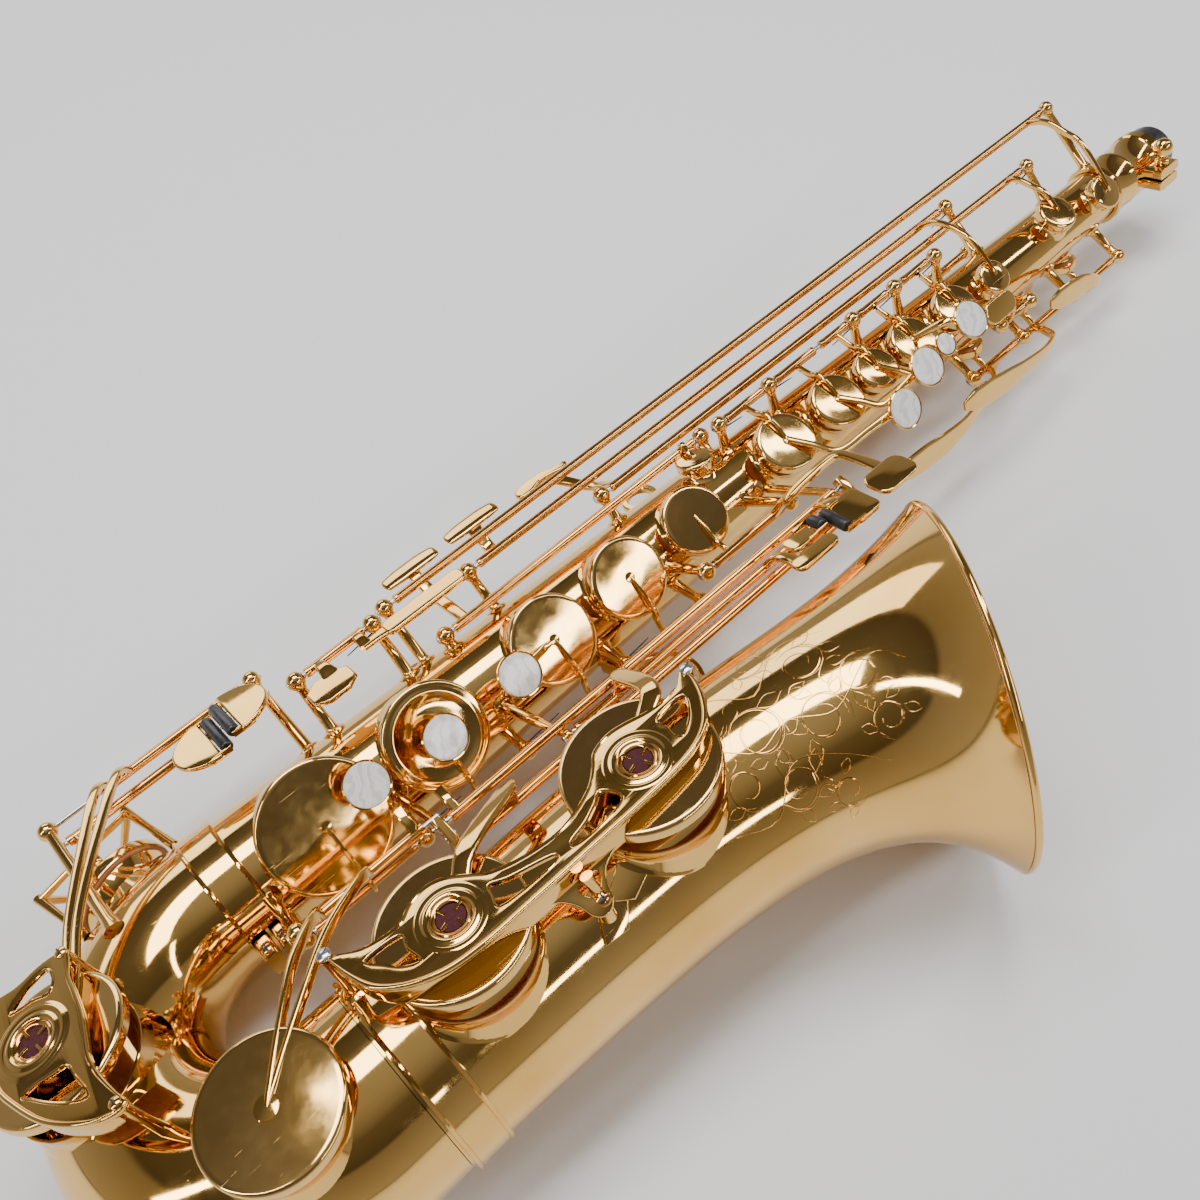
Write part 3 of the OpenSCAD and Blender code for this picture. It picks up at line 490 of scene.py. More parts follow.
def cup(s, m, r, ring=False, dome=0.35, mat=GF):
    s.lathe([(0, 0.15), (r - 5.4, 0.15), (r - 4.8, 0.0), (r - 2.4, 0.0), (r - 1.5, 0.35), (r - 1.2, 1.0),
        (r - 1.2, 1.7), (0, 1.7)], LE, m, 56)
    top = [(0, 1.72), (r - 1.25, 1.72), (r - 1.1, 1.1), (r - 0.35, 1.0), (r, 1.35), (r, 4.5),
        (r - 0.2, 5.2), (r - 0.7, 5.75), (r - 1.5, 6.05), (r - 2.6, CUP_H - dome - 0.1)]
    if ring:
        top += [(r - 3.4, CUP_H - dome - 0.05), (r - 4.2, CUP_H - 0.05), (r - 5.2, CUP_H - 0.05),
            (r - 6.1, CUP_H - dome - 0.25)]
        top += [(r * 0.5, CUP_H - dome), (0, CUP_H - dome + 0.1)]
    else:
        top += [(r * 0.6, CUP_H - dome * 0.35), (r * 0.3, CUP_H - 0.05), (0, CUP_H)]
    s.lathe(top, mat, m, 64)


def boss(s, m, r0, r1, h0=0.5, h1=0.9):
    """Low boss in the middle of a cup, where its arm ends."""
    s.lathe([(0, CUP_H - 0.3), (r0, CUP_H - 0.3), (r1, CUP_H + h0), (0, CUP_H + h1)], G, m, 28)


def stack_cup(s, c, ring=False):
    cup(s, at(c[0], PHI, rb(c[0]) + CHIM + GAP), c[1], ring)


def arm(s, c, line, side):
    """Thin blade arm from the hinge tube over the rim to the middle of a stack cup."""
    x, r = c
    top = cup_top(x)
    pts = [at_x(x, line), at_x(x, sh(side * (r + 4.2), top - 3.0)), at_x(x, sh(side * (r + 1.0), top + 0.3)),
           at_x(x, sh(side * (r - 3.5), top + 1.3)), at_x(x, sh(side * r * 0.45, top + 1.1)),
           at_x(x, sh(side * r * 0.12, top + 0.4)), at_x(x, sh(side * r * -0.1, top - 0.2))]
    mid = Vector(STACK_UP)
    path = smooth_path(pts, 6)
    up = [(mid * min(1, i / 8) + Vector((0, side * -0.6, 0.2)) * (1 - min(1,
        i / 8))) for i in range(len(path))]
    s.ribbon(path, [2.0, 2.1, 2.1, 2.0, 1.9, 1.8, 1.2], [3.6, 4.0, 4.4, 4.2, 3.6, 2.6, 0.8], up, G, sq=0.6)
    s.lathe([(0, 0), (2.6, 0), (2.2, 0.7), (0, 1.0)], G, at(x, PHI, top - 0.15), 20)


def holder(s, m, r=9.2):
    s.lathe([(0, -3.4), (r - 3.0, -3.4), (r - 0.6, -2.9), (r + 0.55, -1.6), (r + 0.85, 0.25),
        (r + 0.55, 0.55), (r + 0.12, 0.3), (r + 0.05, -1.0), (0, -1.05)], G, m, 44)


def pearl(s, m, r=9.2):
    s.lathe([(0, -0.95), (r - 0.1, -0.95), (r, 0.1), (r - 0.35, 0.5), (r - 1.4, 0.62), (r * 0.5, 0.45),
        (0, 0.38)], PE, m, 44)


# ---------------------------------------------------------------- tube, bow and bell
def torus(s, rows, seg, mat, mtx=None):
    """Rows of points joined all the way round both ways."""
    n = len(rows)
    faces = []
    for i in range(n):
        i2 = (i + 1) % n
        for j in range(seg):
            j2 = (j + 1) % seg
            faces.append((i * seg + j, i * seg + j2, i2 * seg + j2, i2 * seg + j))
    s.add([p for r in rows for p in r], faces, mat, mtx)


def round_base(r, bend=inf):
    """Height of a tube of radius r under a tone hole; bend is how slowly a curved tube falls away."""
    return lambda u, v: sqrt(max(r * r - v * v, 1)) - u * u / bend


def chimney(s, frame_m, r_cup, top, base, seg=56, wall=1.2):
    """Drawn tone hole: a fillet that follows base(u, v), a wall and a rolled lip at height top."""
    r_in, r_out = r_cup - INSET, r_cup - INSET + wall
    rows = []
    for dr, h in ((3.0, -0.35), (1.9, 0.12), (1.0, 0.6), (0.35, 1.3), (0.0, 2.2)):
        ring = []
        for j in range(seg):
            a = 2 * pi * j / seg
            u, v = (r_out + dr) * cos(a), (r_out + dr) * sin(a)
            ring.append((u, v, min(base(u, v) + h, top - 0.9)))
        rows.append(ring)
    for r, z in ((r_out, top - 0.7), (r_out + 0.15, top - 0.35), (r_out - 0.1, top - 0.05),
            (r_out - 0.6, top), (r_in + 0.1, top - 0.15), (r_in, top - 0.6), (r_in, top - 6),
            (r_in + 0.5, top - 6)):
        rows.append([(x, y, z) for x, y in circle(r, seg)])
    rows.append([(p[0], p[1], p[2] - 0.9) for p in rows[0]])
    torus(s, rows, seg, G, frame_m)


s = Shape()
s.lathe([(R_LOW, 0), (rb(150), 150), (rb(300), 300), (rb(450), 450), (R_TOP, LEN), (R_TOP - 1, LEN),
         (R_LOW - 1, 0)], G, rot("Y", 90), 128)
for x, r in STACK.values():
    chimney(s, at(x, PHI), r, rb(x) + CHIM, round_base(rb(x)))
for k, (x, phi, r) in SIDE.items():
    if k != "OCT":
        chimney(s, at(x, phi), r, rb(x) + CHIM, round_base(rb(x)), 40)
x, phi, r = SIDE["OCT"]
s.lathe([(1.3, rb(x) - 1), (3.4, rb(x) - 0.2), (2.6, rb(x) + 0.8), (2.6, rb(x) + 2.7), (2.3, rb(x) + 3),
    (1.3, rb(x) + 3)], G, at(x, phi), 24)
s.stand_for("body_tube")

# ribs that carry the posts
s = Shape()
for phi, x0, x1, w in ((91, 0, 236, 9), (-6.2, 292, 467, 8), (66, 224, 290, 7)):
    pts = []
    for i in range(25):
        x = x0 + (x1 - x0) * i / 24
        pts.append((x, *pol(phi, rb(x) + 0.75)))
    s.ribbon(pts, w, 1.1, (0, *pol(phi, 1)), G, sq=0.3)
rib = [(84, 0)]
for k in range(5):
    x0 = 87 + k * 8
    rib += [(x0, 0.4), (x0 + 0.6, 5), (x0 + 2.4, 6.6), (x0 + 4.2, 5), (x0 + 4.8, 0.4)]
rib += [(128, 0), (130, 10), (127, 14.5), (107, 16.5), (87, 14.5), (82, 10)]
s.plate([(p[0], -p[1]) for p in rib], 1.6, G, at(0, 58, rb(106) + 0.2) @ tr(0, 4, 0), 0.5, (), True, 2)
s.make("post_ribs_v", "horn", [])


def shell_rows(s, stations, thick, seg, mat):
    """Closed thin shell along stations of (matrix, radius), each ring in its matrix's YZ plane."""
    rows = [[m @ Vector((0, y, z)) for y, z in circle(r, seg)] for m, r in stations]
    rows += [[m @ Vector((0, y, z)) for y, z in circle(r - thick, seg)] for m, r in reversed(stations)]
    torus(s, rows, seg, mat)


s = Shape()
st = [(tr(-0.3, 0, 0), bow_rad(0)), (tr(-8, 0, 0), bow_rad(0))]
st += [(bow_frame(a), bow_rad(a)) for a in [180 * i / 48 for i in range(49)]]
st += [(tr(-8, AXIS_Y, 0) @ rot("Z", 180), 39.0), (tr(-0.3, AXIS_Y, 0) @ rot("Z", 180), 39.0)]
shell_rows(s, st, 1.2, 96, G)
s.stand_for("bow")

s = Shape()
st = []
for i in range(73):
    t = i / 72
    x = BELL_LEN * (1 - (1 - t) ** 1.6)
    st.append((tr(x, bell_y(x), 0) @ rot("Z", bell_slope(x)), bell_rad(x)))
shell_rows(s, st, 1.2, 144, G)
s.stand_for("bell")


# engraved scrolls on the bell: fine raised strokes in the darker brass, painted shade standing in for cut
# engraving grooves
def on_skin(x, psi, h=0.02):
    a, k = radians(psi), radians(bell_slope(x))
    y, r = -sin(a) * (bell_rad(x) + h), cos(a) * (bell_rad(x) + h)
    return Vector((x - y * sin(k), bell_y(x) + y * cos(k), r))


def stroke(s, pts, w=0.55):
    """pts in millimetres (along the bell, round the bell) from SCROLLS_AT."""
    x0, psi0 = SCROLLS_AT
    path = smooth_path([(p[0], p[1], 0) for p in pts], 5)
    p3 = [on_skin(x0 + p.x, psi0 + degrees(p.y / bell_rad(x0 + p.x))) for p in path]
    up = [(q - Vector((q.x, bell_y(q.x), 0))).normalized() for q in p3]
    # the darker rod brass along each stroke is painted shade of an engraved groove
    s.ribbon(p3, [0.12, w, w, w * 0.8, 0.1], 0.16, up, GD, None, 8, 0.9)


def curl(cx, cy, r0, turns, a0, flip=1, grow=0.62, n=9):
    """Spiral that winds in towards (cx, cy)."""
    out = []
    for i in range(int(n * turns) + 1):
        t = i / (n * turns)
        a = radians(a0 + flip * 360 * turns * t)
        r = r0 * (1 - grow * t)
        out.append((cx + r * cos(a), cy + r * sin(a)))
    return out


s = Shape()
for cx, cy, r, turns, a0, flip in ((0, 0, 11, 1.6, 200, 1), (24, 8, 10, 1.5, 20, -1),
        (2, 24, 9, 1.4, 160, -1), (28, -16, 9, 1.5, 240, 1), (-16, 14, 8, 1.3, 90, 1),
        (44, 0, 8, 1.4, 300, -1), (-14, -14, 7, 1.3, 30, 1), (46, 20, 7, 1.3, 120, 1),
        (14, -30, 7.5, 1.3, 200, -1), (20, 36, 7, 1.3, 40, 1)):
    stroke(s, curl(cx, cy, r, turns, a0, flip), 0.7)
    stroke(s, curl(cx + 0.6, cy + 0.5, r * 1.12, turns * 0.7, a0 - 12 * flip, flip, 0.5), 0.3)
    for j in range(4):
        a = radians(a0 + flip * (40 + 62 * j))
        q = (cx + r * 0.95 * cos(a), cy + r * 0.95 * sin(a))
        e = (cx + r * 1.75 * cos(a + flip * 0.5), cy + r * 1.75 * sin(a + flip * 0.5))
        mid = ((q[0] + e[0]) / 2 - (e[1] - q[1]) * 0.28 * flip,
            (q[1] + e[1]) / 2 + (e[0] - q[0]) * 0.28 * flip)
        stroke(s, [q, mid, e], 0.5)
        mid = ((q[0] + e[0]) / 2 + (e[1] - q[1]) * 0.22 * flip,
            (q[1] + e[1]) / 2 - (e[0] - q[0]) * 0.22 * flip)
        stroke(s, [q, mid, e], 0.3)
for pts in ([(-34, 4), (-20, -4), (-4, 6), (12, 2), (30, 8), (50, -4), (60, 4)],
        [(-30, 26), (-12, 30), (4, 16), (22, 22), (40, 34)],
        [(-26, -22), (-8, -26), (8, -14), (26, -30), (42, -24)]):
    stroke(s, pts, 0.6)
s.make("bell_scrolls_v", "horn", [])

s = Shape()
m = tr(BELL_LEN, bell_y(BELL_LEN), 0) @ rot("Z", bell_slope(BELL_LEN)) @ rot("Y", 90)
s.lathe([(75.6 + 1.6 * cos(a), 1.75 + 1.6 * sin(a)) for a in [2 * pi * k / 20 for k in range(20)]], G, m, 144)
s.stand_for("bell_rim", sharp=80)

s = Shape()
for c in (C_LOW, CS_LOW, EB_LOW):
    rr = bow_rad(c[0])
    chimney(s, on_bow(c, 0), c[2], rr + 4, round_base(rr, 260), 72)
for c in (B_LOW, BB_LOW):
    rr = bell_rad(c[0])
    chimney(s, on_bell(c, 0), c[2], rr + 4, round_base(rr), 72)
s.stand_for("low_tone_holes")


def band(s, m, r, w, mat=G):
    s.lathe([(r, 0.2), (r + 0.9, 0), (r + 1.7, 0.25), (r + 2, 0.9), (r + 1.7, 1.6), (r + 1.05, 1.95),
        (r + 0.95, w * 0.4), (r + 0.95, w * 0.6), (r + 1.05, w - 1.95), (r + 1.7, w - 1.6),
        (r + 2, w - 0.9), (r + 1.7, w - 0.25), (r + 0.9, w), (r, w - 0.2)], mat, m, 112)


def screw(s, m, r, h=1.4, mat=CH, cross=False):
    """Slotted screw head with a domed top, standing on the local z = 0 plane."""
    s.lathe([(0, -0.6), (r * 0.9, -0.6), (r, 0.1), (r, h * 0.45), (r * 0.75, h * 0.85), (0, h)], mat, m, 24)
    # each slot is a thin black strip laid on the dome: painted shade standing in for the cut slot
    for k in ((0, 90) if cross else (20,)):
        q = m @ rot("Z", k) @ tr(0, 0, h * 0.9)
        s.ribbon([(-r * 0.8, 0, 0), (0, 0, 0.08), (r * 0.8, 0, 0)], r * 0.26, 0.35, (0, 0, 1), BK, q, 8)


s = Shape()
band(s, tr(-14, 0, 0) @ rot("Y", 90), bow_rad(0) + 0.25, 17)
for x0 in (-13, -5):
    s.ribbon([(x0 + 3.6, -33, 0), (x0 + 3.6, -36, 0), (x0 + 3.6, -44, 0)], 6.8, 11.6, (0, 0, 1), G, None,
        20, 0.3)
for x in (-9.5, -1.5):
    screw(s, tr(x, -39.5, 5.8), 2.9, 1.6, G, True)
s.stand_for("body_bow_ring")
s = Shape()
band(s, tr(1, AXIS_Y, 0) @ rot("Y", 90), 39.75, 16)
s.stand_for("bow_bell_ring")

# ring brace between body and bell
s = Shape()
m = tr(186, -56, -15)
s.lathe([(18.6, -4.3), (18.9, -4.5), (21.1, -4.5), (21.5, -4.1), (21.5, 4.1), (21.1, 4.5), (18.9, 4.5),
    (18.6, 4.3)], G, m, 96)
for y0, y1 in ((-21.5, -35.5), (-89.5, -76.5)):
    s.ribbon([(186, y0, -15), (186, (y0 * 0.7 + y1 * 0.3), -15), (186, (y0 + y1) / 2, -15), (186, y1, -15)],
        [13.5, 11, 9.5, 9.5], [13, 10, 8.6, 8.8], (0, 0, 1), G, None, 24, 0.6)
s.stand_for("bell_brace")

# neck receiver
s = Shape()
m = tr(600, 0, 0) @ rot("Y", 90)
s.lathe([(15.2, 0), (17.2, 0), (17.6, 0.5), (17.6, 3.4), (17.2, 3.9), (16.4, 4.3), (16.2, 5.2), (16.2, 19),
    (16.5, 19.6), (16.5, 21.4), (16.2, 22), (16.2, 41.2), (16.6, 41.8), (17.2, 42.4), (17.2, 47.6),
    (16.8, 48), (14.3, 48), (14.0, 47.6), (14.0, 12), (15.2, 12)], G, m, 96)
for z0 in (-6.5, 0.6):
    s.ribbon([(637, -14, z0 + 2.95), (637, -18, z0 + 2.95), (637, -26, z0 + 2.95)], 17.6, 5.9, (0, 0, 1), G,
        None, 24, 0.35)
s.stand_for("neck_receiver")
s = Shape()
m = tr(637, -21, 0)
s.lathe([(0, -9.4), (2.6, -9.4), (3.4, -8.9), (3.4, -7.5), (2.9, -7), (2, -7), (2, 6.8), (3.8, 6.8),
    (4, 7.2), (4, 8.8), (3.6, 9.3), (2.3, 9.8), (2.0, 10.6), (2.3, 11.2), (3.9, 12), (5.05, 13.8),
    (5.5, 16), (5.05, 18.2), (3.9, 20), (2, 21.2), (0, 21.5)], G, m, 48)
s.stand_for("receiver_screw", "receiver_screw")
s = Shape()
m = tr(615, 0, 0) @ rot("Y", 90)
s.lathe([(0, 0), (13.4, 0), (13.93, 0.6), (13.93, 33.3), (14.4, 33.3), (14.8, 33.7), (14.8, 43.4),
    (14.4, 44.7), (13.3, 45.3), (12.2, 45.0), (11.4, 44.4), (0, 44.2)], BK, m, 96)
s.stand_for("end_plug", "end_plug")

s = Shape()
x = 262
m = tr(x, 0, 0) @ rot("X", -90)
s.lathe([(0, rb(x) - 0.3), (7.5, rb(x) - 0.3), (7.5, rb(x) + 0.8), (5.6, rb(x) + 1.6), (4.6, rb(x) + 3.0),
    (0, rb(x) + 3.2)], G, m, 36)
q = m @ tr(0, 0, rb(x) + 12) @ rot("X", 90)
s.lathe([(6.5, -1.4), (7.1, -2), (9.4, -2), (10, -1.4), (10, 1.4), (9.4, 2), (7.1, 2), (6.5, 1.4)], G, q, 56)
s.stand_for("strap_ring")

s = Shape()
x = 112
m = tr(x, 0, 0) @ rot("X", -100) @ tr(0, 0, rb(x) + 0.2)
s.ribbon([(-16, 0, 1.2), (0, 0, 1.2), (16, 0, 1.2)], 13, 2.4, (0, 0, 1), G, m, 20, 0.3)
s.ribbon(smooth_path([(11.6, 0, 1.8), (11.6, 0, 9), (11, 0, 14.2), (8, 0, 15.9), (2, 0, 16.2),
    (-5.8, 0, 15.8)], 5), [14, 13, 12, 12, 13, 12, 6], [3.0, 3.0, 2.8, 2.6, 2.4, 1.6], (0.5, 0, 0.8), G, m,
    20, 0.5)
screw(s, m @ tr(-9, 0, 2.4), 4, 2.6, CH)
s.stand_for("thumb_hook")
s = Shape()
s.lathe([(0, 0), (8.3, 0), (9.0, 1.2), (9.1, 2.8), (8.5, 4.2), (7.2, 4.9), (4, 5.1), (0, 5.2)], BK,
    tr(350, 0, 0) @ rot("X", -112) @ tr(0, 0, rb(350) + 0.2), 48)
s.stand_for("thumb_rest")

# ---------------------------------------------------------------- guards
OUT = [(5.8, -111.7), (7.8, -122.3), (11.3, -131.8), (19.8, -139.9), (31.7, -145.4), (45.6, -147.4),
    (60.7, -147.6), (77.4, -147.7), (95.2, -147.7), (113.6, -147.8), (129.9, -147.2), (142, -145.4),
    (151.2, -140.9), (158.3, -133), (162.8, -123.5), (164.2, -114.5), (155.8, -120.5), (148.2, -121.6),
    (141.2, -120.4), (132.3, -117.6), (125.1, -116.6), (117.2, -118.6), (112.4, -123.5), (106.1, -128.6),
    (95.9, -132.6), (86.1, -134.0), (73.6, -132.0), (62.4, -127.9), (56.2, -122.4), (49.6, -116.6),
    (43, -114.4), (36, -115.7), (30.2, -118.9), (23.3, -118.7), (15.2, -116.4), (8.5, -111.6)]
HOLES = [[(108.0, -132.6), (111.2, -140.6), (101.3, -143.4), (88.6, -142.9), (87.8, -140.2), (95.6, -138.3),
    (102.0, -135.6)], [(58.8, -131.0), (65.1, -134.2), (80.2, -139.2), (79.6, -142.0), (69, -142.2),
    (56.6, -140.6), (57, -135.2)], [(141.8, -125.4), (155.0, -125.0), (150.6, -133.3), (142.8, -138.3),
    (140.6, -136.2), (141.4, -131.0)], [(13.9, -120.9), (27.2, -122.3), (26.4, -128.2), (27.2, -135.6),
    (21.6, -132.9), (17.2, -127.1)]]
RINGS = [(43, -130.4), (125.2, -133.2)]
GUARD_LEGS = [(5.4, -108.4), (164.4, -117.4)]


def felt_hole(x=0, y=0):
    return [(x + 7.3 * cos(k * pi / 6), y + 7.3 * sin(k * pi / 6)) for k in range(12)]


def bead(s, hole, z, r, mtx=None):
    """Rounded edge round a hole in a guard."""
    path = smooth_path([(x, y, z) for x, y in hole], 4, True)
    s.tube(path + [Vector((*hole[0], z))], r, G, 8, mtx)


def felt_ring(s, m, r=12.6):
    """Raised holder with four bars and a felt showing in the middle."""
    s.lathe([(7.4, -0.6), (r, -0.6), (r + 0.6, 0.2), (r + 0.4, 1.0), (r - 0.6, 1.35), (r - 1.5, 1.1),
        (r - 2.2, 1.1), (r - 2.8, 1.5), (r - 3.8, 1.6), (8.0, 1.3), (7.4, 0.8)], G, m, 64)
    s.lathe([(5.6, -0.8), (7.4, -0.8), (7.4, 0.9), (6.9, 1.2), (6.1, 1.0), (5.6, 0.5)], GD, m, 48)
    for a in (20, 110, 200, 290):
        s.ribbon([(2.6, 0, 0.5), (4.4, 0, 0.6), (6.2, 0, 0.6)], 1.3, 1.0, (0, 0, 1), G, m @ rot("Z", a), 10)


s = Shape()
m = tr(0, 0, GUARD_Z)
s.plate(OUT, 2.6, G, m, 0.7, HOLES + [felt_hole(*p) for p in RINGS])
rail = smooth_path([(p[0], p[1], 0) for p in OUT[0:16]], 5)
rail = [Vector((p.x, p.y, GUARD_Z - 3.6)) for p in rail]
s.ribbon(rail, [1.2, 1.5] + [1.7] * 6 + [1.5, 1.2], [3, 8] + [10.2] * 6 + [8, 3], (0, 0, 1), G,
    tr(0, 0.9, 0), 20, 0.35)
s.tube([p + Vector((0, 0.8, 5.6)) for p in rail], [0.5] + [1.15] * 8 + [0.5], G, 10)
inner = smooth_path([(p[0], p[1], GUARD_Z + 2.35) for p in OUT[16:]], 5)
s.tube(inner, [0.3] + [0.75] * 8 + [0.3], G, 8)
for h in HOLES:
    bead(s, h, GUARD_Z + 2.3, 0.55)
for p in RINGS:
    felt_ring(s, tr(p[0], p[1], GUARD_Z + 1.7))
# foot between the cups
s.plate([(70, -145.6), (84, -143.5), (100.8, -145.6), (92.4, -149.5), (88.6, -154.2), (87.2, -158.6),
    (84, -161.4), (80.4, -161.2), (77.8, -158.5), (76.2, -153.0), (73, -148.6)], 2.2, G,
    tr(0, -145, GUARD_Z - 7) @ rot("X", 34) @ tr(0, 145, 0), 0.5,
    [[(80, -148.8), (89, -148.8), (83.2, -155.0)]])
s.tube([(84, -150.5, GUARD_Z - 3), (84.3, -153.4, GUARD_Z - 12), (84.5, -152.6, 34.5)], [2.4, 2.2, 2.8], G,
    16)
for cx, psi, tilt in ((86, 43, 20), (98, 34, -10)):
    q = on_skin(cx, psi, 0.3)
    nrm = (q - Vector((q.x, bell_y(q.x), 0))).normalized()
    fm = Matrix.Translation(q) @ nrm.to_track_quat("Z", "Y").to_matrix().to_4x4() @ rot("Z", tilt)
    s.plate([(-9, -3), (0, -7.5), (9, -2), (2, 7.5)], 0.9, G, fm, 0.35, (), False)
for p, base in zip(GUARD_LEGS, (38.6, 42.4)):
    s.tube([(p[0], p[1], GUARD_Z + 1), (p[0], p[1], (GUARD_Z + base) / 2), (p[0], p[1], base)],
        [2.3, 1.9, 2.5], G, 18)
    s.lathe([(0, -0.6), (5, -0.6), (5, 0.6), (3.2, 1.6), (0, 1.8)], G, tr(p[0], p[1], base), 28)
s.stand_for("bell_key_guard")

s = Shape()
for p in RINGS:
    s.lathe([(0, -3.6), (6.6, -3.6), (6.9, -3.1), (6.9, -0.6), (5.4, -0.2), (5.2, 0.7), (3.0, 1.0),
        (0, 1.05)], FE, tr(p[0], p[1], GUARD_Z + 1.4), 36)
m = on_bow(C_LOW, bow_rad(C_LOW[0]) + C_GUARD_UP)
s.lathe([(0, -3.4), (5.3, -3.4), (5.6, -2.9), (5.6, 2.0), (3.0, 2.4), (0, 2.45)], FE, m, 36)
s.stand_for("guard_felts")

# low C guard: a broad bowed plate round the felt, on three legs
s = Shape()
m = on_bow(C_LOW, bow_rad(C_LOW[0]) + C_GUARD_UP)
CG = [(27.8, -15), (25.6, -20), (15.7, -18), (7.1, -18.4), (-3.2, -18.6), (-11.3, -17.6), (-21.2, -16.4),
    (-30.2, -17.8), (-38.4, -20.4), (-44.8, -23), (-46.6, -18.5), (-44.3, -11.2), (-38.5, -3), (-30.2, 4.7),
    (-18.2, 11.5), (-8, 15.5), (4, 15.6), (14, 14.6), (21, 19.5), (25.6, 24.6), (28.8, 22), (28, 12),
    (26.4, 1.2), (28, -7.9)]
CG_HOLES = [[(17, 5), (20.5, 1), (23.4, -4), (24, -11), (19, -12.5), (13.8, -9.6), (15.6, -3.6), (16, 2)],
    [(-16.9, 8.2), (-15.9, 4), (-16.5, -2), (-17.8, -8.4), (-23.8, -10), (-33.6, -12.4), (-31.5, -6.3),
    (-26, 0.2), (-20.4, 5.2)]]
s.plate(CG, 2.6, G, m, 0.8, CG_HOLES + [felt_hole()])
s.lathe([(7.4, 0.4), (15, 0.4), (15.4, 1.0), (15, 2.2), (13, 3.0), (7.4, 3.0)], G, m, 64)
felt_ring(s, m @ tr(0, 0, 2.0), 12.4)
edge = smooth_path([(x * 0.975, y * 0.975, -2.6) for x, y in CG[10:17]], 6)
s.ribbon(edge, [1.2, 1.7, 1.8, 1.8, 1.7, 1.2], [4, 8.6, 9, 9, 8, 4], (0, 0, 1), G, m, 18, 0.35)
s.tube([p + lift(5.2) for p in edge], [0.4, 1.1, 1.1, 1.1, 0.4], G, 10, m)
s.tube(smooth_path([(x * 0.97, y * 0.955, 2.4) for x, y in CG[1:10]], 6), [0.3, 0.8, 0.8, 0.8, 0.3], G, 8, m)
for h in CG_HOLES:
    bead(s, h, 2.35, 0.6, m)
deck = bow_rad(C_LOW[0]) + C_GUARD_UP
for x, y, z0 in ((26.4, -17.6, 29.5), (-43, -19.4, 31.5), (25.3, 21.2, 21.5)):
    z0 -= deck
    s.tube([(x, y, 1), (x, y, z0 / 2), (x, y, z0)], [2.3, 1.8, 2.5], G, 18, m)
    s.lathe([(0, -0.6), (3.6, -0.6), (3.4, 0.8), (2.2, 2.0), (0, 2.2)], G, m @ tr(x, y, z0), 24)
    screw(s, m @ tr(x, y, 2.5), 2.2, 1.2, G)
s.stand_for("low_c_guard")

s = Shape()
m = on_bow(EB_LOW, bow_rad(EB_LOW[0]))
tri = [(27.5 * cos(radians(a)), 27.5 * sin(radians(a))) for a in (90, 210, 330)]
for i in range(3):
    p, q = Vector((*tri[i], 24.5)), Vector((*tri[(i + 1) % 3], 24.5))
    s.ribbon([p, p.lerp(q, 0.3) + lift(0.5), p.lerp(q, 0.7) + lift(0.5), q],
        [4.2, 3.2, 3.2, 4.2], [2.2, 2.4, 2.4, 2.2], (0, 0, 1), G, m, 14, 0.5)
for (x, y), z0 in zip(tri, (-17.5, -5, -5)):
    s.tube([(x, y, 26.3), (x, y, (z0 + 26) / 2), (x, y, z0)], [2.2, 1.7, 2.2], G, 18, m)
s.stand_for("low_eb_guard")

s = Shape()
for p in GUARD_LEGS:
    screw(s, tr(p[0], p[1], GUARD_Z + 2.8), 2.6, 1.4, CH)
screw(s, tr(84.2, -155.6, GUARD_Z - 12.2) @ rot("X", 34), 2.7, 1.6, GD, True)
s.stand_for("guard_screws")

s = Shape()
pts = []
for i in range(25):
    a = radians(121 + 32 * i / 24)
    rr = BOW_R + bow_rad(40) + 4.2
    pts.append((-STRAIGHT + rr * cos(a), -BOW_R + rr * sin(a), 0))
cen = Vector((-STRAIGHT, -BOW_R, 0))
s.ribbon(pts, [2, 6, 6, 6, 2], [1.0, 1.8, 1.8, 1.8, 1.0], [(Vector(p) - cen).normalized() for p in pts], G,
    None, 16, 0.5)
for i in (4, 20):
    q = Vector(pts[i])
    d = (q - cen).normalized()
    s.tube([q, q - d * 3, q - d * 6.5], [1.8, 1.6, 2.6], G, 14)
s.stand_for("bow_guard_strip")


# ---------------------------------------------------------------- posts and rods
def ball(r, z, start=0.0, n=12):
    return [(r * sin(start + (pi - start) * k / n),
        z - r * cos(start + (pi - start) * k / n)) for k in range(n)] + [(0, z + r)]


def post(s, x, line, r_ball=4.25, r0=0.0, r_tip=2.2, r_base=2.8, foot=5.2):
    base = r0 or rb(x)
    top = hypot(*line)
    m = tr(x, 0, 0) @ rot("X", degrees(atan2(-line[0], line[1])))
    prof = [(0, base - 0.7), (foot, base - 0.7), (foot, base + 0.5), (foot - 0.6, base + 0.95),
        (3.4, base + 1.4), (r_base, base + 2.4), (r_tip, top - r_ball - 0.4),
        (r_tip + 0.5, top - r_ball * 0.93)]
    s.lathe(prof + ball(r_ball, top, asin(min(0.9, (r_tip + 0.5) / r_ball))), G, m, 32)
    for side in (-1, 1):
        q = tr(x + side * (r_ball - 0.42), line[0], line[1]) @ rot("Y", 90 * side)
        s.lathe([(0, -0.5), (1.75, -0.5), (1.75, 0.3), (1.4, 0.5), (0, 0.55)], CH, q, 20)
        # thin black strip across the screw end: painted shade standing in for its slot
        s.ribbon([(-1.5, 0, 0.42), (0, 0, 0.45), (1.5, 0, 0.42)], 0.55, 0.3, (0, 0, 1), BK,
            q @ rot("Z", 35 * side + x), 8)


def posts(s, line, *places):
    for x in places:
        post(s, x, line)


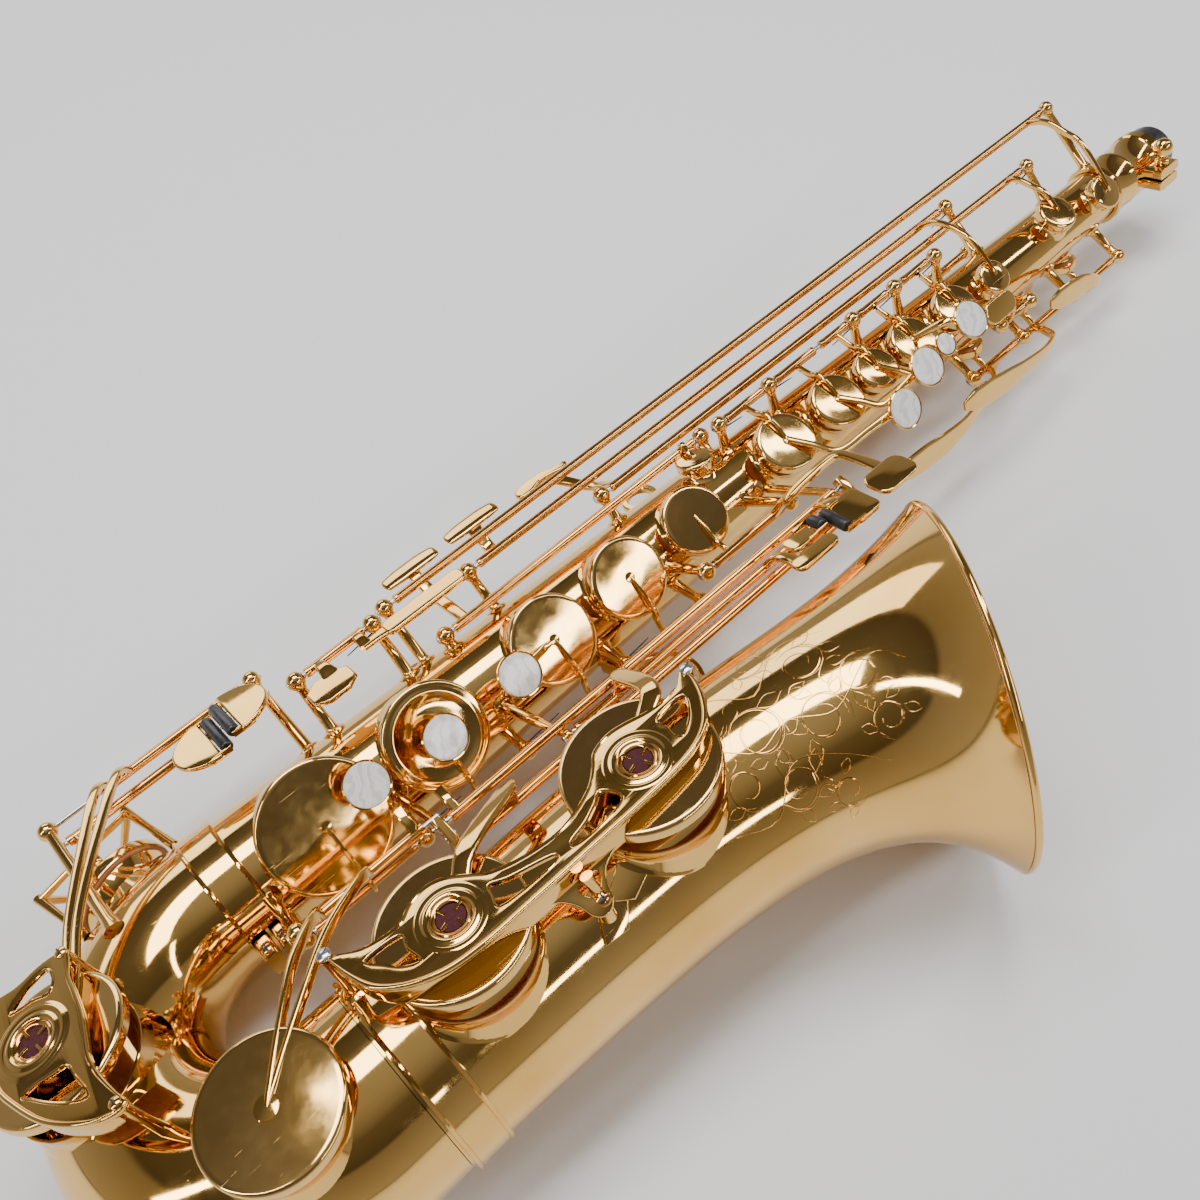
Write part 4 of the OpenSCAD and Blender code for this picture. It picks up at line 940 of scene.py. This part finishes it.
def spring(s, x0, x1, line):
    """Needle spring from a post towards its key."""
    off = Vector(line).normalized() * -3.2
    p = at_x(x0, (line[0] + off[0], line[1] + off[1]))
    q = at_x(x1, (line[0] + off[0] * 1.5, line[1] + off[1] * 1.5))
    s.tube([p, p.lerp(q, 0.5), q], [0.5, 0.4, 0.25], BL, 8)


def springs(s, *rows):
    for row in rows:
        spring(s, *row)


s = Shape()
posts(s, LS, 4, 65, 122, 182, 230)
posts(s, US, 297.5, 333, 396, 429, 462)
posts(s, TG, 229.8, 284)
posts(s, FF, 460, 485)
springs(s, (4, 26, LS), (65, 88, LS), (122, 144, LS), (182, 199, LS), (297.5, 312, US),
    (333, 348, US), (396, 379, US), (429, 414, US), (462, 448, US), (229.8, 249, TG))
s.stand_for("stack_posts")

s = Shape()
post(s, 3, CSK)
post(s, 127, TBB, 2.9, 0, 1.8)
for x in (66.8, 296):
    ln = (TCS[0] - 1, TCS[1] - 1) if x < 100 else TBB
    post(s, x, ln, 2.3, 0, 2.0, 2.3, 5.4)
    p, q = at_x(x, (TCS[0] + 3, TCS[1] + 2.1)), at_x(x, (TB[0] - 3, TB[1] - 2.1))
    s.ribbon([p, p.lerp(q, 0.2), p.lerp(q, 0.8), q], [5.2, 6.4, 6.4, 5.2], [3.9, 4.4, 4.4, 3.9], (1, 0, 0),
        G, None, 20, 0.35)
    for ln in (TCS, TB, TBB):
        for side in (-1, 1):
            q = tr(x + side * 2.0, *ln) @ rot("Y", 90 * side)
            s.lathe([(0, -0.5), (1.9, -0.5), (1.9, 0.35), (1.5, 0.6), (0, 0.65)], CH, q, 20)
s.make("bell_side_posts_v", "horn", ["key_posts"])

s = Shape()
post(s, 117, R1)
post(s, 608, R1, 4.25, 16.2, foot=3.8)
for x, ln in ((158, R2), (505, R2), (232, R3), (565, R3), (66, RT), (107, RT), (129, RB), (291, RB),
        (54, RP)):
    post(s, x, ln)
a, b = Vector((-48, -4, 30.5)), at_x(-48, RP)
s.tube([a, a.lerp(b, 0.1), a.lerp(b, 0.9), b], [4.8, 3.0, 2.3, 2.3], G, 24)
s.lathe([(0, -4.25)] + ball(4.25, 0)[1:], G, tr(-48, *RP), 32)
springs(s, (505, 489, R2), (565, 552, R3), (107, 90, RT), (291, 280, RB), (54, 36, RP))
s.make("side_key_posts_v", "horn", ["key_posts"])

s = Shape()
posts(s, PK, 448, 492, 537, 582)
posts(s, OC, 375, 425)
posts(s, OV, 486, 516)
m = tr(STUD_X, 0, 0) @ rot("X", 193)
rs = 45.6
s.lathe([(0, rb(STUD_X) - 0.5), (6, rb(STUD_X) - 0.5), (6, rb(STUD_X) + 0.6), (4.2, rb(STUD_X) + 1.6),
    (3, rb(STUD_X) + 2.6), (3, rs - 9.3)] + ball(5, rs - 5, 0.66), G, m, 32)
s.make("palm_key_posts_v", "horn", ["key_posts"])

s = Shape()
for x0, x1, ln in ((1, 233, LS), (294, 465, US), (227, 287, TG), (457, 488, FF), (0, 69.4, CSK),
        (64.2, 299, TCS), (64.2, 299, TB), (124, 299, TBB), (-51, 57, RP), (-51, 57, RPE), (114, 611, R1),
        (155, 508, R2), (229, 568, R3), (63, 110, RT), (126, 294, RB), (445, 585, PK), (372, 428, OC),
        (483, 519, OV)):
    stub(s, x0, x1, ln, 1.1, CH, 16, 0.35)
s.stand_for("hinge_rods")


# ---------------------------------------------------------------- stack keys
def across(s, pts, w, h, mat=G, n=6, sq=0.5, mtx=None):
    """Arm that stays in a plane across the horn: w thick in that plane and h wide along the horn."""
    s.ribbon(smooth_path(pts, n), w, h, (1, 0, 0), mat, mtx, 16, sq)


def along(s, pts, w, h, up=(0, 0, 1), mat=G, n=6, sq=0.5, mtx=None):
    s.ribbon(smooth_path(pts, n), w, h, up, mat, mtx, 18, sq)


def stack_key(name, body, key, line, side, x0, x1, touch=None, foot=8.0, ring=False, links=()):
    c = STACK[key]
    s = Shape()
    hinge(s, line, x0, x1)
    stack_cup(s, c, ring)
    arm(s, c, line, side)
    for pts, w, h in links:
        s.ribbon(smooth_path(pts, 6), w, h, STACK_UP, G, None, 16, 0.6)
    a = OPEN if line == LS else -OPEN
    if touch:
        m = at(*touch)
        holder(s, m)
        s.lathe([(0, -foot), (3.1, -foot), (2.3, -foot + 1.4), (2.1, -5), (3.0, -3.4), (0, -3.4)], G, m, 24)
        p = Shape()
        pearl(p, m)
        p.make(body + "_pearl_v", body, [body + "_pearl"], pose=swing(line, a))
    s.stand_for(name, body, pose=swing(line, a))


stack_key("rh3_key", "rh3", "D", LS, 1, 9, 60, (57, 38, 52), 14)
stack_key("rh2_key", "rh2", "E", LS, 1, 70, 117, (93, 44, 51), 12.6, True)
p134, p152 = at_x(134, pol(44, 41)), at_x(152, pol(44, cup_top(159) + 0.2))
stack_key("rh1_key", "rh1", "F", LS, 1, 127, 177, (134, 44, 48), 8,
    links=[([p134, p134.lerp(p152, 0.5) + Vector((0, *pol(44, 0.8))), p152,
    at_x(158, pol(44, cup_top(159) + 0.1))], [5, 4.6, 4, 2], [2.6, 2.4, 2, 1])])
stack_key("f_sharp_key", "f_sharp", "FS", LS, 1, 187, 225)


def lh_links(x, key, p, knee, drop):
    c = STACK[key]
    a = at_x(x, sh(0, cup_top(c[0]) + 0.5))
    b = at_x(*knee)
    e = at_x(p[0], pol(p[1], p[2] - drop))
    return [([a, a.lerp(b, 0.5), b, b.lerp(e, 0.5), e], [3.4, 3.4, 3.6, 3.6, 4.4], [2.6, 2.8, 3, 3, 2.6])]


stack_key("lh3_key", "lh3", "G", US, -1, 302, 328, (362, 73, 56), 8,
    links=lh_links(314, "G", (362, 73, 56), (328, sh(21, 36.4)), 6))
stack_key("lh2_key", "lh2", "A", US, -1, 338, 366, (387, 64, 54), 8,
    links=lh_links(352, "A", (387, 64, 54), (364, sh(17.5, 36.4)), 6))
stack_key("lh1_key", "lh1", "B", US, -1, 401, 423, (428, 60, 50), 8,
    links=[([at_x(411, sh(0, cup_top(411) + 0.4)), at_x(419, pol(52, 45.4)), at_x(428, pol(60, 44.4))],
    [3.4, 3.6, 4], [2.6, 2.8, 2.6])])
stack_key("c_vent_key", "c_vent", "C", US, -1, 435, 456)

s = Shape()
hinge(s, US, 371, 391)
c = STACK["BIS"]
stack_cup(s, c)
arm(s, c, US, -1)
a, b, e = at_x(382, sh(0, cup_top(382) + 0.3)), at_x(393, sh(16, 33.4)), at_x(408, pol(62, 45.4))
s.ribbon(smooth_path([a, a.lerp(b, 0.5), b, b.lerp(e, 0.5), e], 6), [3, 3, 3.2, 3.2, 4],
    [2.6, 2.6, 2.8, 2.8, 2.4], STACK_UP, G, None, 16, 0.6)
m = at(408, 62, 49)
s.lathe([(0, -5), (3.6, -5), (5.0, -3), (6.25, -1.2), (6.3, -0.25), (5.9, 0), (5.4, -0.1), (5.3, -0.5),
    (0, -0.55)], G, m, 36)
s.lathe([(0, -0.55), (5.25, -0.55), (5.25, -0.2), (4.6, 0), (0, -0.05)], PE, m, 36)
s.stand_for("bis_key", "bis", pose=swing(US, -OPEN))


# ---------------------------------------------------------------- left-hand table
def rrect(x0, x1, y0, y1, r, n=5):
    out = []
    for cx, cy, a0 in ((x1 - r, y1 - r, 0), (x0 + r, y1 - r, 90), (x0 + r, y0 + r, 180),
            (x1 - r, y0 + r, 270)):
        for k in range(n + 1):
            a = radians(a0 + 90 * k / n)
            out.append((cx + r * cos(a), cy + r * sin(a)))
    return out


def touch_plate(s, outline, z, t, mtx=None, bevel=0.8):
    m = (mtx or Matrix()) @ tr(0, 0, z)
    s.plate(outline, t, G, m, bevel, (), False, 3)


def roller(body, x, y, z, n, pose=None):
    s, r = Shape(), 2.8
    m = tr(x, y, z) @ rot("X", 90)
    s.lathe([(0.8, 0), (r - 0.7, 0), (r - 0.2, 0.4), (r, 1.1), (r, n - 1.1), (r - 0.2, n - 0.4),
        (r - 0.7, n), (0.8, n)], BK, m, 36)
    s.stand_for(body, body, pose=pose)


def axle(s, x, y, z, n, side):
    m = tr(x, y + 1, z) @ rot("X", 90)
    s.lathe([(0, 0), (0.75, 0), (0.75, n + 2), (0, n + 2)], CH, m, 14)
    for e in (y + 0.9, y - n - 0.9):
        s.ribbon([(x - side * 1.2, e, z - 0.4), (x + side * 4, e, z - 0.5), (x + side * 9.6, e, z - 0.6)],
            1.0, [3.4, 3.6, 3.0], (0, 0, 1), G, None, 12, 0.5)


s = Shape()
hinge(s, TG, 235, 279)
c = STACK["GS"]
stack_cup(s, c)
across(s, [at_x(252, TG), at_x(252, sh(23, 33)), at_x(252, sh(19.5, 37.2)),
    at_x(252, sh(14, cup_top(252) + 1.1)), at_x(252, sh(6, cup_top(252) + 0.9)),
    at_x(252, sh(-2, cup_top(252) + 0.1))], [3.4, 3.6, 3.6, 3.0, 2.2, 0.8], [2.0, 2.1, 2.1, 2.0, 1.8, 1.2])
along(s, [at_x(274, TG), (274.3, -56.5, 31), (275.4, -61, 37.2), (285, -62.4, 40.2), (299, -63.2, 42.0),
    (305.4, -66, 43.2), (306.8, -77, 44.0), (307, -89, 44.6)], [3.6, 3.8, 4.2, 4.2, 4.2, 4.6, 5, 6.4],
    [3.6, 3.6, 3.2, 3.2, 3, 2.6, 2.2, 1.8], (0.05, 0.1, 1))
touch_plate(s, rrect(294, 317, -103, -87, 5.5), 43.5, 2.4)
s.stand_for("g_sharp_key", "g_sharp")

s = Shape()
hinge(s, TCS, 71.5, 290)
across(s, [at_x(75, TCS), (75, -69.5, 40), (75, -64, 41.2)], [3.6, 3.2, 2.2], [4.4, 4.2, 4.4])
across(s, [at_x(279, TCS), (279, -80, 40.8), (279, -86, 43.4), (279, -92, 43.8)], [3.6, 3.4, 3, 1.8],
    [6, 6, 7.4, 9])
touch_plate(s, rrect(273.6, 290, -104, -86, 3.6), 43, 2.5)
axle(s, *CS_ROLLER, 1)
s.stand_for("low_cs_lever", "cs_lever")
roller("cs_roller", *CS_ROLLER)

s = Shape()
hinge(s, CSK, 9, 62)
rr = bow_rad(CS_LOW[0]) + PAD_SEAT
m = on_bow(CS_LOW, rr)
cup(s, m, CS_LOW[2])
across(s, [at_x(58.5, CSK), at_x(58.5, (CSK[0] + 4, CSK[1] + 4.6)), at_x(58.5, (CSK[0] + 9, CSK[1] + 7.4))],
    [3.2, 2.6, 1.6], [4.4, 4.2, 4.8])
ap = m @ lift(CUP_H)
for x0 in (14, 36):
    a = at_x(x0, CSK)
    along(s, [a, a + Vector((-3, -6, 8.6)), a.lerp(ap, 0.35) + lift(9.6),
        a.lerp(ap, 0.68) + lift(5.6), a.lerp(ap, 0.93) + lift(1.1),
        ap + lift(0.4)], [2.4, 2.6, 2.6, 2.5, 2.4, 1.6], [4.2, 4.6, 4.8, 4.4, 3.2, 1.0])
boss(s, m, 4.6, 4.2)
s.stand_for("low_cs_key", "cs_cup")


def bell_key(name, body, line, a, xs, cup_at, arm_x, reach, touch):
    s = Shape()
    hinge(s, line, *xs)
    m = on_bell(cup_at, bell_rad(cup_at[0]) + PAD_SEAT)
    cup(s, m, cup_at[2])
    mid = m @ lift(CUP_H)
    rim = m @ Vector((cup_at[2] * 0.8, cup_at[2] * 0.62, CUP_H))
    p = at_x(arm_x, line)
    along(s, [p, p + Vector((-0.5, -5.5, 10)), p + Vector((-1.2, -9, 17)),
        Vector((arm_x - 3, p.y - 13, p.z + 19.6)), rim + lift(3.0),
        rim.lerp(mid, 0.45) + lift(1.7), mid + lift(0.2)],
        [6.6, 6.8, 7, 7.4, 8, 7.4, 4], [3.2, 3.2, 3, 2.8, 2.6, 2.2, 1.0],
        [Vector((0.2, 1.0, 0.2)).lerp(lift(1), min(1, max(0, (i - 6) / 14))) for i in range(37)])
    boss(s, m, 5.4, 4.8)
    reach(s)
    touch(s)
    s.stand_for(name, body, pose=swing(line, a))


def b_reach(s):
    across(s, [at_x(253, TB), (253, -88, 40), (253, -92, 43.4), (253, -95.5, 43.8)], [3.6, 3.4, 2.6, 1.6],
        [5, 5, 6.6, 9])


def b_touch(s):
    touch_plate(s, rrect(246, 260.4, -97, -86.6, 3.2), 43, 2.4)
    axle(s, *B_ROLLER, -1)


def bb_reach(s):
    across(s, [at_x(241, TBB), (241, -86, 40.5), (241.2, -90.6, 43.6), (241.8, -97, 43.9),
        (242, -103, 43.9)], [3.4, 3.2, 2.6, 2.2, 1.6], [4, 4, 4.6, 5.4, 8])


def bb_touch(s):
    touch_plate(s, rrect(238, 262, -107, -98.6, 3.6), 43, 2.4)


bell_key("low_b_key", "low_b", TB, B_SWING, (71.5, 290), B_LOW, 92, b_reach, b_touch)
bell_key("low_bb_key", "low_bb", TBB, BB_SWING, (131, 290), BB_LOW, 155, bb_reach, bb_touch)
roller("b_roller", *B_ROLLER, swing(TB, B_SWING))


# ---------------------------------------------------------------- side, front and palm keys
def side_cup(s, key):
    x, phi, r = SIDE[key]
    cup(s, at(x, phi, rb(x) + CHIM + GAP), r)


def bar_touch(s, x0, x1, y, z, w, h=3.0):
    """Rounded raised touch that runs along the horn."""
    n = x1 - x0
    pts = [(x0, y, z + h * 0.35), (x0 + 1.5, y, z + h * 0.5), (x0 + n * 0.3, y, z + h * 0.58),
        (x0 + n * 0.7, y, z + h * 0.58), (x1 - 1.5, y, z + h * 0.5), (x1, y, z + h * 0.35)]
    s.ribbon(smooth_path(pts, 5), [w * 0.35, w * 0.8, w, w, w * 0.8, w * 0.35],
        [h * 0.3, h * 0.8, h, h, h * 0.8, h * 0.3], (0, 0, 1), G, None, 20, 0.8)


s = Shape()
hinge(s, FF, 465, 480)
along(s, [at_x(469, FF), (467, -41, 14), (461, -43.5, 20.5), (455.5, -42.5, 25)], [4.6, 4.6, 4.4, 4],
    [3, 3, 2.6, 2], (0, -0.9, 0.3))
q = at(453, 60, 49)
touch_plate(s, rrect(-12, 11, -6, 6, 5.8), 0, 2.4, q, 0.9)
s.stand_for("front_f_key", "front_f")


def palm(name, body, key, x0, x1, pts, ww, hh):
    s = Shape()
    hinge(s, PK, x0, x1)
    side_cup(s, key)
    x = SIDE[key][0]
    tp = cup_top(x)
    across(s, [at_x(x, PK), at_x(x, (PK[0] + 5.5, PK[1] - 11)), at_x(x, pol(152, tp + 3.2)),
        at_x(x, pol(159, tp + 1.4)), at_x(x, pol(165, tp + 0.1))], [3.2, 3.2, 2.8, 2.0, 0.8],
        [3.4, 3.4, 3.2, 2.8, 2.0])
    s.ribbon(smooth_path(pts, 7), ww, hh, (0, -1, 0.18), G, None, 20, 0.65)
    s.stand_for(name, body)


palm("palm_d_key", "palm_d", "PD", 453, 486, [at_x(459, PK), (457.5, -34.6, -22), (450, -40.6, -21.4),
    (432, -47.5, -18.6), (410, -53.6, -15.6), (392, -56.4, -13.4), (374, -57.2, -10.8), (360, -57.4, -8.8),
    (352.6, -57.2, -7.8)], [4.4, 4.8, 5.2, 5.8, 7.5, 11, 13.5, 12, 5],
    [4, 3.4, 2.8, 2.5, 2.3, 2.3, 2.4, 2.3, 1.2])
palm("palm_eb_key", "palm_eb", "PEB", 497, 531, [at_x(502, PK), (500.6, -38, -21), (494, -47, -18),
    (476, -54.2, -12.6), (455, -58.6, -6.6), (438, -60.2, -3.2), (420, -60.8, 0.6), (408, -60.9, 3),
    (399.4, -60.8, 4.6)], [4.4, 4.8, 5.2, 5.8, 7.5, 11, 13, 11.6, 5],
    [4, 3.4, 2.8, 2.5, 2.3, 2.3, 2.4, 2.3, 1.2])
palm("palm_f_key", "palm_f", "PF", 542, 576, [at_x(547, PK), (545.4, -37, -17), (540, -43.6, -10),
    (530, -46.6, -3), (520, -47.4, 1), (507, -47.8, 3.4), (497, -47.9, 5), (489.6, -47.8, 6.4)],
    [4.4, 4.8, 5.4, 7, 10.6, 12.4, 11, 5], [4, 3.4, 2.8, 2.5, 2.3, 2.4, 2.3, 1.2])

s = Shape()
hinge(s, OC, 380, 420)
across(s, [at_x(400, OC), (400, 24.6, -23), (400, 21, -29.6)], [3.4, 3, 2], [12, 12, 13])
touch_plate(s, rrect(384, 418, 8, 24, 7.6), -31.4, 2.6, None, 0.9)
along(s, [at_x(415, OC), (415, 31, -19.2), (417, 33.8, -21), (440, 33.4, -20), (468, 33, -19)],
    [4.6, 4.4, 3.8, 3.4, 3.4], [3.4, 3.2, 3, 2.8, 2.6], (0, 1, 0.2))
s.stand_for("octave_lever", "octave_lever")
s = Shape()
hinge(s, OV, 490, 512)
side_cup(s, "OCT")
tp = cup_top(500)
across(s, [at_x(500, OV), at_x(500, (27.5, -4)), at_x(500, pol(-116, tp + 1.2)),
    at_x(500, pol(-120, tp + 0.1))], [3, 2.8, 2.2, 1], [3.2, 3, 2.8, 2])
along(s, [at_x(494, OV), (489, 27, -4), (481, 26.6, -10), (474, 25.2, -15)], [3.2, 3, 3, 3.2],
    [3, 2.8, 2.6, 2.6], (0, 1, 0.2))
s.stand_for("octave_vent", "octave_vent")

s = Shape()
hinge(s, RT, 71, 102)
across(s, [at_x(78, RT), (78, 24, 48.4), (78, 17, 47.6)], [3.6, 3.2, 1.8], [5, 6, 9])
touch_plate(s, [(64.2, 9.4), (70, 5.2), (80, 5.2), (85.8, 9.4), (85.8, 16.8), (80, 20.8), (70, 20.8),
    (64.2, 16.8)], 46, 2.6, None, 0.9)
across(s, [at_x(98, RT), (98, 25.4, 48.2), (98, 20.4, 47.6)], [3.6, 3, 2.2], [5, 5.2, 6])
along(s, [(96.4, 20.5, 47.3), (104, 20.4, 47.3), (113, 20.3, 47.3)], [5, 5, 7], [2.3, 2.3, 1.8])
s.plate(rrect(108, 152, 15.5, 25, 3.4), 2.8, G, tr(0, 0, 46), 1.1, (), False, 4)
s.stand_for("high_fs_touch", "high_fs_touch")

s = Shape()
hinge(s, R1, 123, 602)
side_cup(s, "HFS")
across(s, [at_x(590, R1), (590, 25, 46.5), (590, 12, 42.6), (588.5, 0, 38),
    at_x(586, pol(44, cup_top(586) + 0.8)), at_x(585, pol(51, cup_top(586) + 0.1))],
    [3.4, 3.4, 3.2, 3.0, 2.2, 0.9], [2.8, 2.8, 2.8, 2.6, 2.4, 1.8])
s.stand_for("high_fs_key", "high_fs")

s = Shape()
hinge(s, R3, 238, 559)
side_cup(s, "HE")
across(s, [at_x(547, R3), (547, 14.4, 35.6), (547, 4, 33.6), (547, -4, 31.6),
    at_x(547, pol(25, cup_top(547) + 0.9)), at_x(547, pol(31, cup_top(547) + 0.1))],
    [3.4, 3.4, 3.0, 2.8, 2.2, 0.9], [2.8, 2.8, 2.6, 2.6, 2.4, 1.8])
along(s, [at_x(243, R3), (240.5, 28, 29.2), (236.4, 37.4, 27.6), (230, 45.4, 31.6), (224, 50.6, 35.6)],
    [5, 5, 5.2, 5.6, 6.4], [3.4, 3.2, 3, 2.6, 2], (0.3, -0.5, 0.9))
s.plate([(204.4, 51.4), (206, 47.6), (211, 47.2), (219, 49.6), (226, 48.6), (231, 47.2), (235.8, 49.2),
    (234.6, 51.8), (229, 52.4), (223, 55.0), (214, 55.9), (207, 54.8)], 2.8, G, tr(0, 0, 35.8), 1.1, (),
    True, 4)
s.stand_for("high_e_key", "high_e")

s = Shape()
hinge(s, R2, 164, 499)

stack_cup(s, STACK["SC"])
across(s, [at_x(483, R2), (483, 22.5, 41), (483, 14, 42.2), (483, 4, 40), (483, -4, 36.6),
    at_x(483, pol(34, cup_top(483) + 1.2)), at_x(483, pol(44, cup_top(483) + 0.2))],
    [3.4, 3.4, 3.2, 3, 2.8, 2.2, 0.9], [2.8, 2.8, 2.8, 2.6, 2.6, 2.4, 1.8])
across(s, [at_x(178, R2), (178, 36, 31), (178, 42.4, 29.4), (178, 48, 33), (178, 52.6, 38.4)],
    [3.4, 3.2, 3, 2.8, 2], [5.6, 5.8, 6, 6.2, 8])
bar_touch(s, 163.2, 193.8, 54, 37.8, 10)
s.stand_for("side_c_key", "side_c")

s = Shape()
hinge(s, RB, 134, 286)
side_cup(s, "SBB")
tp = cup_top(277)
across(s, [at_x(277, RB), at_x(277, (9.4, 36.4)), at_x(277, pol(-10, tp + 1.4)),
    at_x(277, pol(-3, tp + 0.2))], [3.2, 3, 2.2, 0.9], [3, 3, 2.8, 2])
across(s, [at_x(141, RB), (141, 24, 31.4), (141, 36, 31.4), (141, 44, 33.8), (141, 50, 36.6),
    (141, 53, 38.6)], [3.4, 3.2, 3, 3, 2.8, 2], [5.6, 5.8, 6, 6, 6.2, 8])
bar_touch(s, 126.2, 156.8, 54, 37.8, 10)
s.stand_for("side_bb_key", "side_bb")

# right little finger keys: two half discs with rollers along their straight sides
def half_disc(x, y, rx, ry):
    return [(x + rx * sin(radians(t)), y - ry * cos(radians(t))) for t in range(0, 190, 10)]


s = Shape()
hinge(s, RP, -22, 48)
rr = bow_rad(C_LOW[0]) + PAD_SEAT
m = on_bow(C_LOW, rr)
cup(s, m, C_LOW[2])
ap = m @ lift(CUP_H)
for k, x0 in enumerate((-18, -8)):
    p = at_x(x0, RP)
    e = (m @ Vector((6 - 12 * k, -12, CUP_H))).lerp(ap, 0.4)
    along(s, [p, p + Vector((-5, -9, 8.6)), p.lerp(ap, 0.3) + lift(7.8),
        p.lerp(ap, 0.62) + lift(4.4), p.lerp(e, 0.88) + lift(1.6), e],
        [3.4, 3.8, 4, 3.8, 3.4, 2.4], [3, 3, 3, 2.8, 2.4, 1], (0.2, 0, 1))
boss(s, m, 5.0, 4.4)
across(s, [at_x(42, RP), (42, 51, 44), (42, 45, 46.6), (42, 38, 47.0)], [3.6, 3.4, 2.6, 1.4], [5, 5.4, 7, 12])
touch_plate(s, half_disc(36.4, 36, 18, 14.4), 46, 2.6, None, 0.95)
axle(s, *C_ROLLER, 1)
s.stand_for("low_c_key", "low_c", pose=swing(RP, C_SWING))
roller("c_roller", *C_ROLLER, swing(RP, C_SWING))

s = Shape()
hinge(s, RPE, -44.5, 26)
m = on_bow(EB_LOW, bow_rad(EB_LOW[0]) + PAD_SEAT)
cup(s, m, EB_LOW[2])
ap = m @ lift(CUP_H)
boss(s, m, 4.4, 4.0, 0.4, 0.6)
q = at_x(-41.5, RPE)
e = m @ Vector((0, -21, CUP_H + 0.6))
along(s, [q, q.lerp(e, 0.5) + Vector((0, 1.2, 1.0)), e,
    e.lerp(ap, 0.5) + (m.to_3x3() @ lift(0.8)), ap], [4, 4, 4, 3.6, 2.4], [2.8, 2.8, 2.6, 2.2, 1],
    (m.to_3x3() @ lift(1)))
across(s, [at_x(20, RPE), (20, 47, 39.8), (20, 43, 43.4), (20, 37, 44.9)], [3.6, 3.4, 2.6, 1.4],
    [5, 5.4, 7, 11])
touch_plate(s, half_disc(24, 35, -17.4, 13.4), 44, 2.6, None, 0.95)
axle(s, *EB_ROLLER, -1)
s.stand_for("low_eb_key", "low_eb")
roller("eb_roller", *EB_ROLLER)

# ---------------------------------------------------------------- surface, light and camera
sc = bpy.context.scene
m, nt, p = new_mat("pale_cloth")
fine = node(nt, "ShaderNodeTexNoise", Scale=260.0, Detail=6.0)
link(nt, coords(nt), fine.inputs["Vector"])
p.inputs["Base Color"].default_value = (0.83, 0.83, 0.84, 1)
p.inputs["Roughness"].default_value = 0.9
bumpy(nt, p, fine.outputs["Fac"], 0.25, 0.0006)
me = bpy.data.meshes.new("floor")
me.from_pydata([(-6, -6, 0), (6, -6, 0), (6, 6, 0), (-6, 6, 0)], [], [(0, 1, 2, 3)])
me.materials.append(m)
floor = bpy.data.objects.new("floor", me)
sc.collection.objects.link(floor)

world = bpy.data.worlds.new("studio")
sc.world = world
world.use_nodes = True
nt = world.node_tree
bg = nt.nodes["Background"]
tc = nt.nodes.new("ShaderNodeTexCoord")
sep = nt.nodes.new("ShaderNodeSeparateXYZ")
link(nt, tc.outputs["Generated"], sep.inputs[0])
link(nt, ramp(nt, sep.outputs["Z"], [(0.0, (0.5, 0.48, 0.46)), (0.5, (0.30, 0.28, 0.26)),
    (0.55, (0.10, 0.09, 0.08)), (0.8, (0.16, 0.15, 0.14)), (1.0, (0.5, 0.5, 0.5))]), bg.inputs["Color"])
bg.inputs["Strength"].default_value = 0.8


def area(name, offset, w, h, power):
    """Soft light at an offset from the middle of the horn, turned towards it."""
    li = bpy.data.lights.new(name, "AREA")
    li.shape = "RECTANGLE"
    li.size, li.size_y = w, h
    li.energy = power
    ob = bpy.data.objects.new(name, li)
    ob.location = middle + Vector(offset)
    ob.rotation_euler = (middle - ob.location).to_track_quat("-Z", "Y").to_euler()
    sc.collection.objects.link(ob)


middle = Vector([(a + b) / 2 for a, b in zip(*cad_box)])
area("overhead", (0.1, 0.5, 1.9), 1.5, 0.7, 34)
area("strip_left", (-1.5, 0.2, 1.3), 0.16, 1.6, 12)
area("strip_front", (0.5, -1.5, 1.2), 1.6, 0.16, 10)
area("strip_right", (1.3, -0.3, 1.4), 0.16, 1.4, 8)
area("window", (0.2, 2.2, 0.9), 1.6, 0.9, 14)

cam_data = bpy.data.cameras.new("view")
cam_data.lens = 36.09
cam_data.sensor_width = 36
cam_data.clip_start = 0.01
cam = bpy.data.objects.new("view", cam_data)
right, down, fwd = Vector((0.731, -0.638, -0.246)), Vector((-0.591, -0.416, -0.687)), Vector((0.340, 0.648,
    -0.684))
fwd.normalize()
right = (right - fwd * right.dot(fwd)).normalized()
down = fwd.cross(right)
cols = Matrix((HR @ right, HR @ -down, HR @ -fwd)).transposed()
cam.matrix_world = Matrix.Translation(HORN @ Vector((6.8, -372, 391))) @ cols.to_4x4()
sc.collection.objects.link(cam)
sc.camera = cam
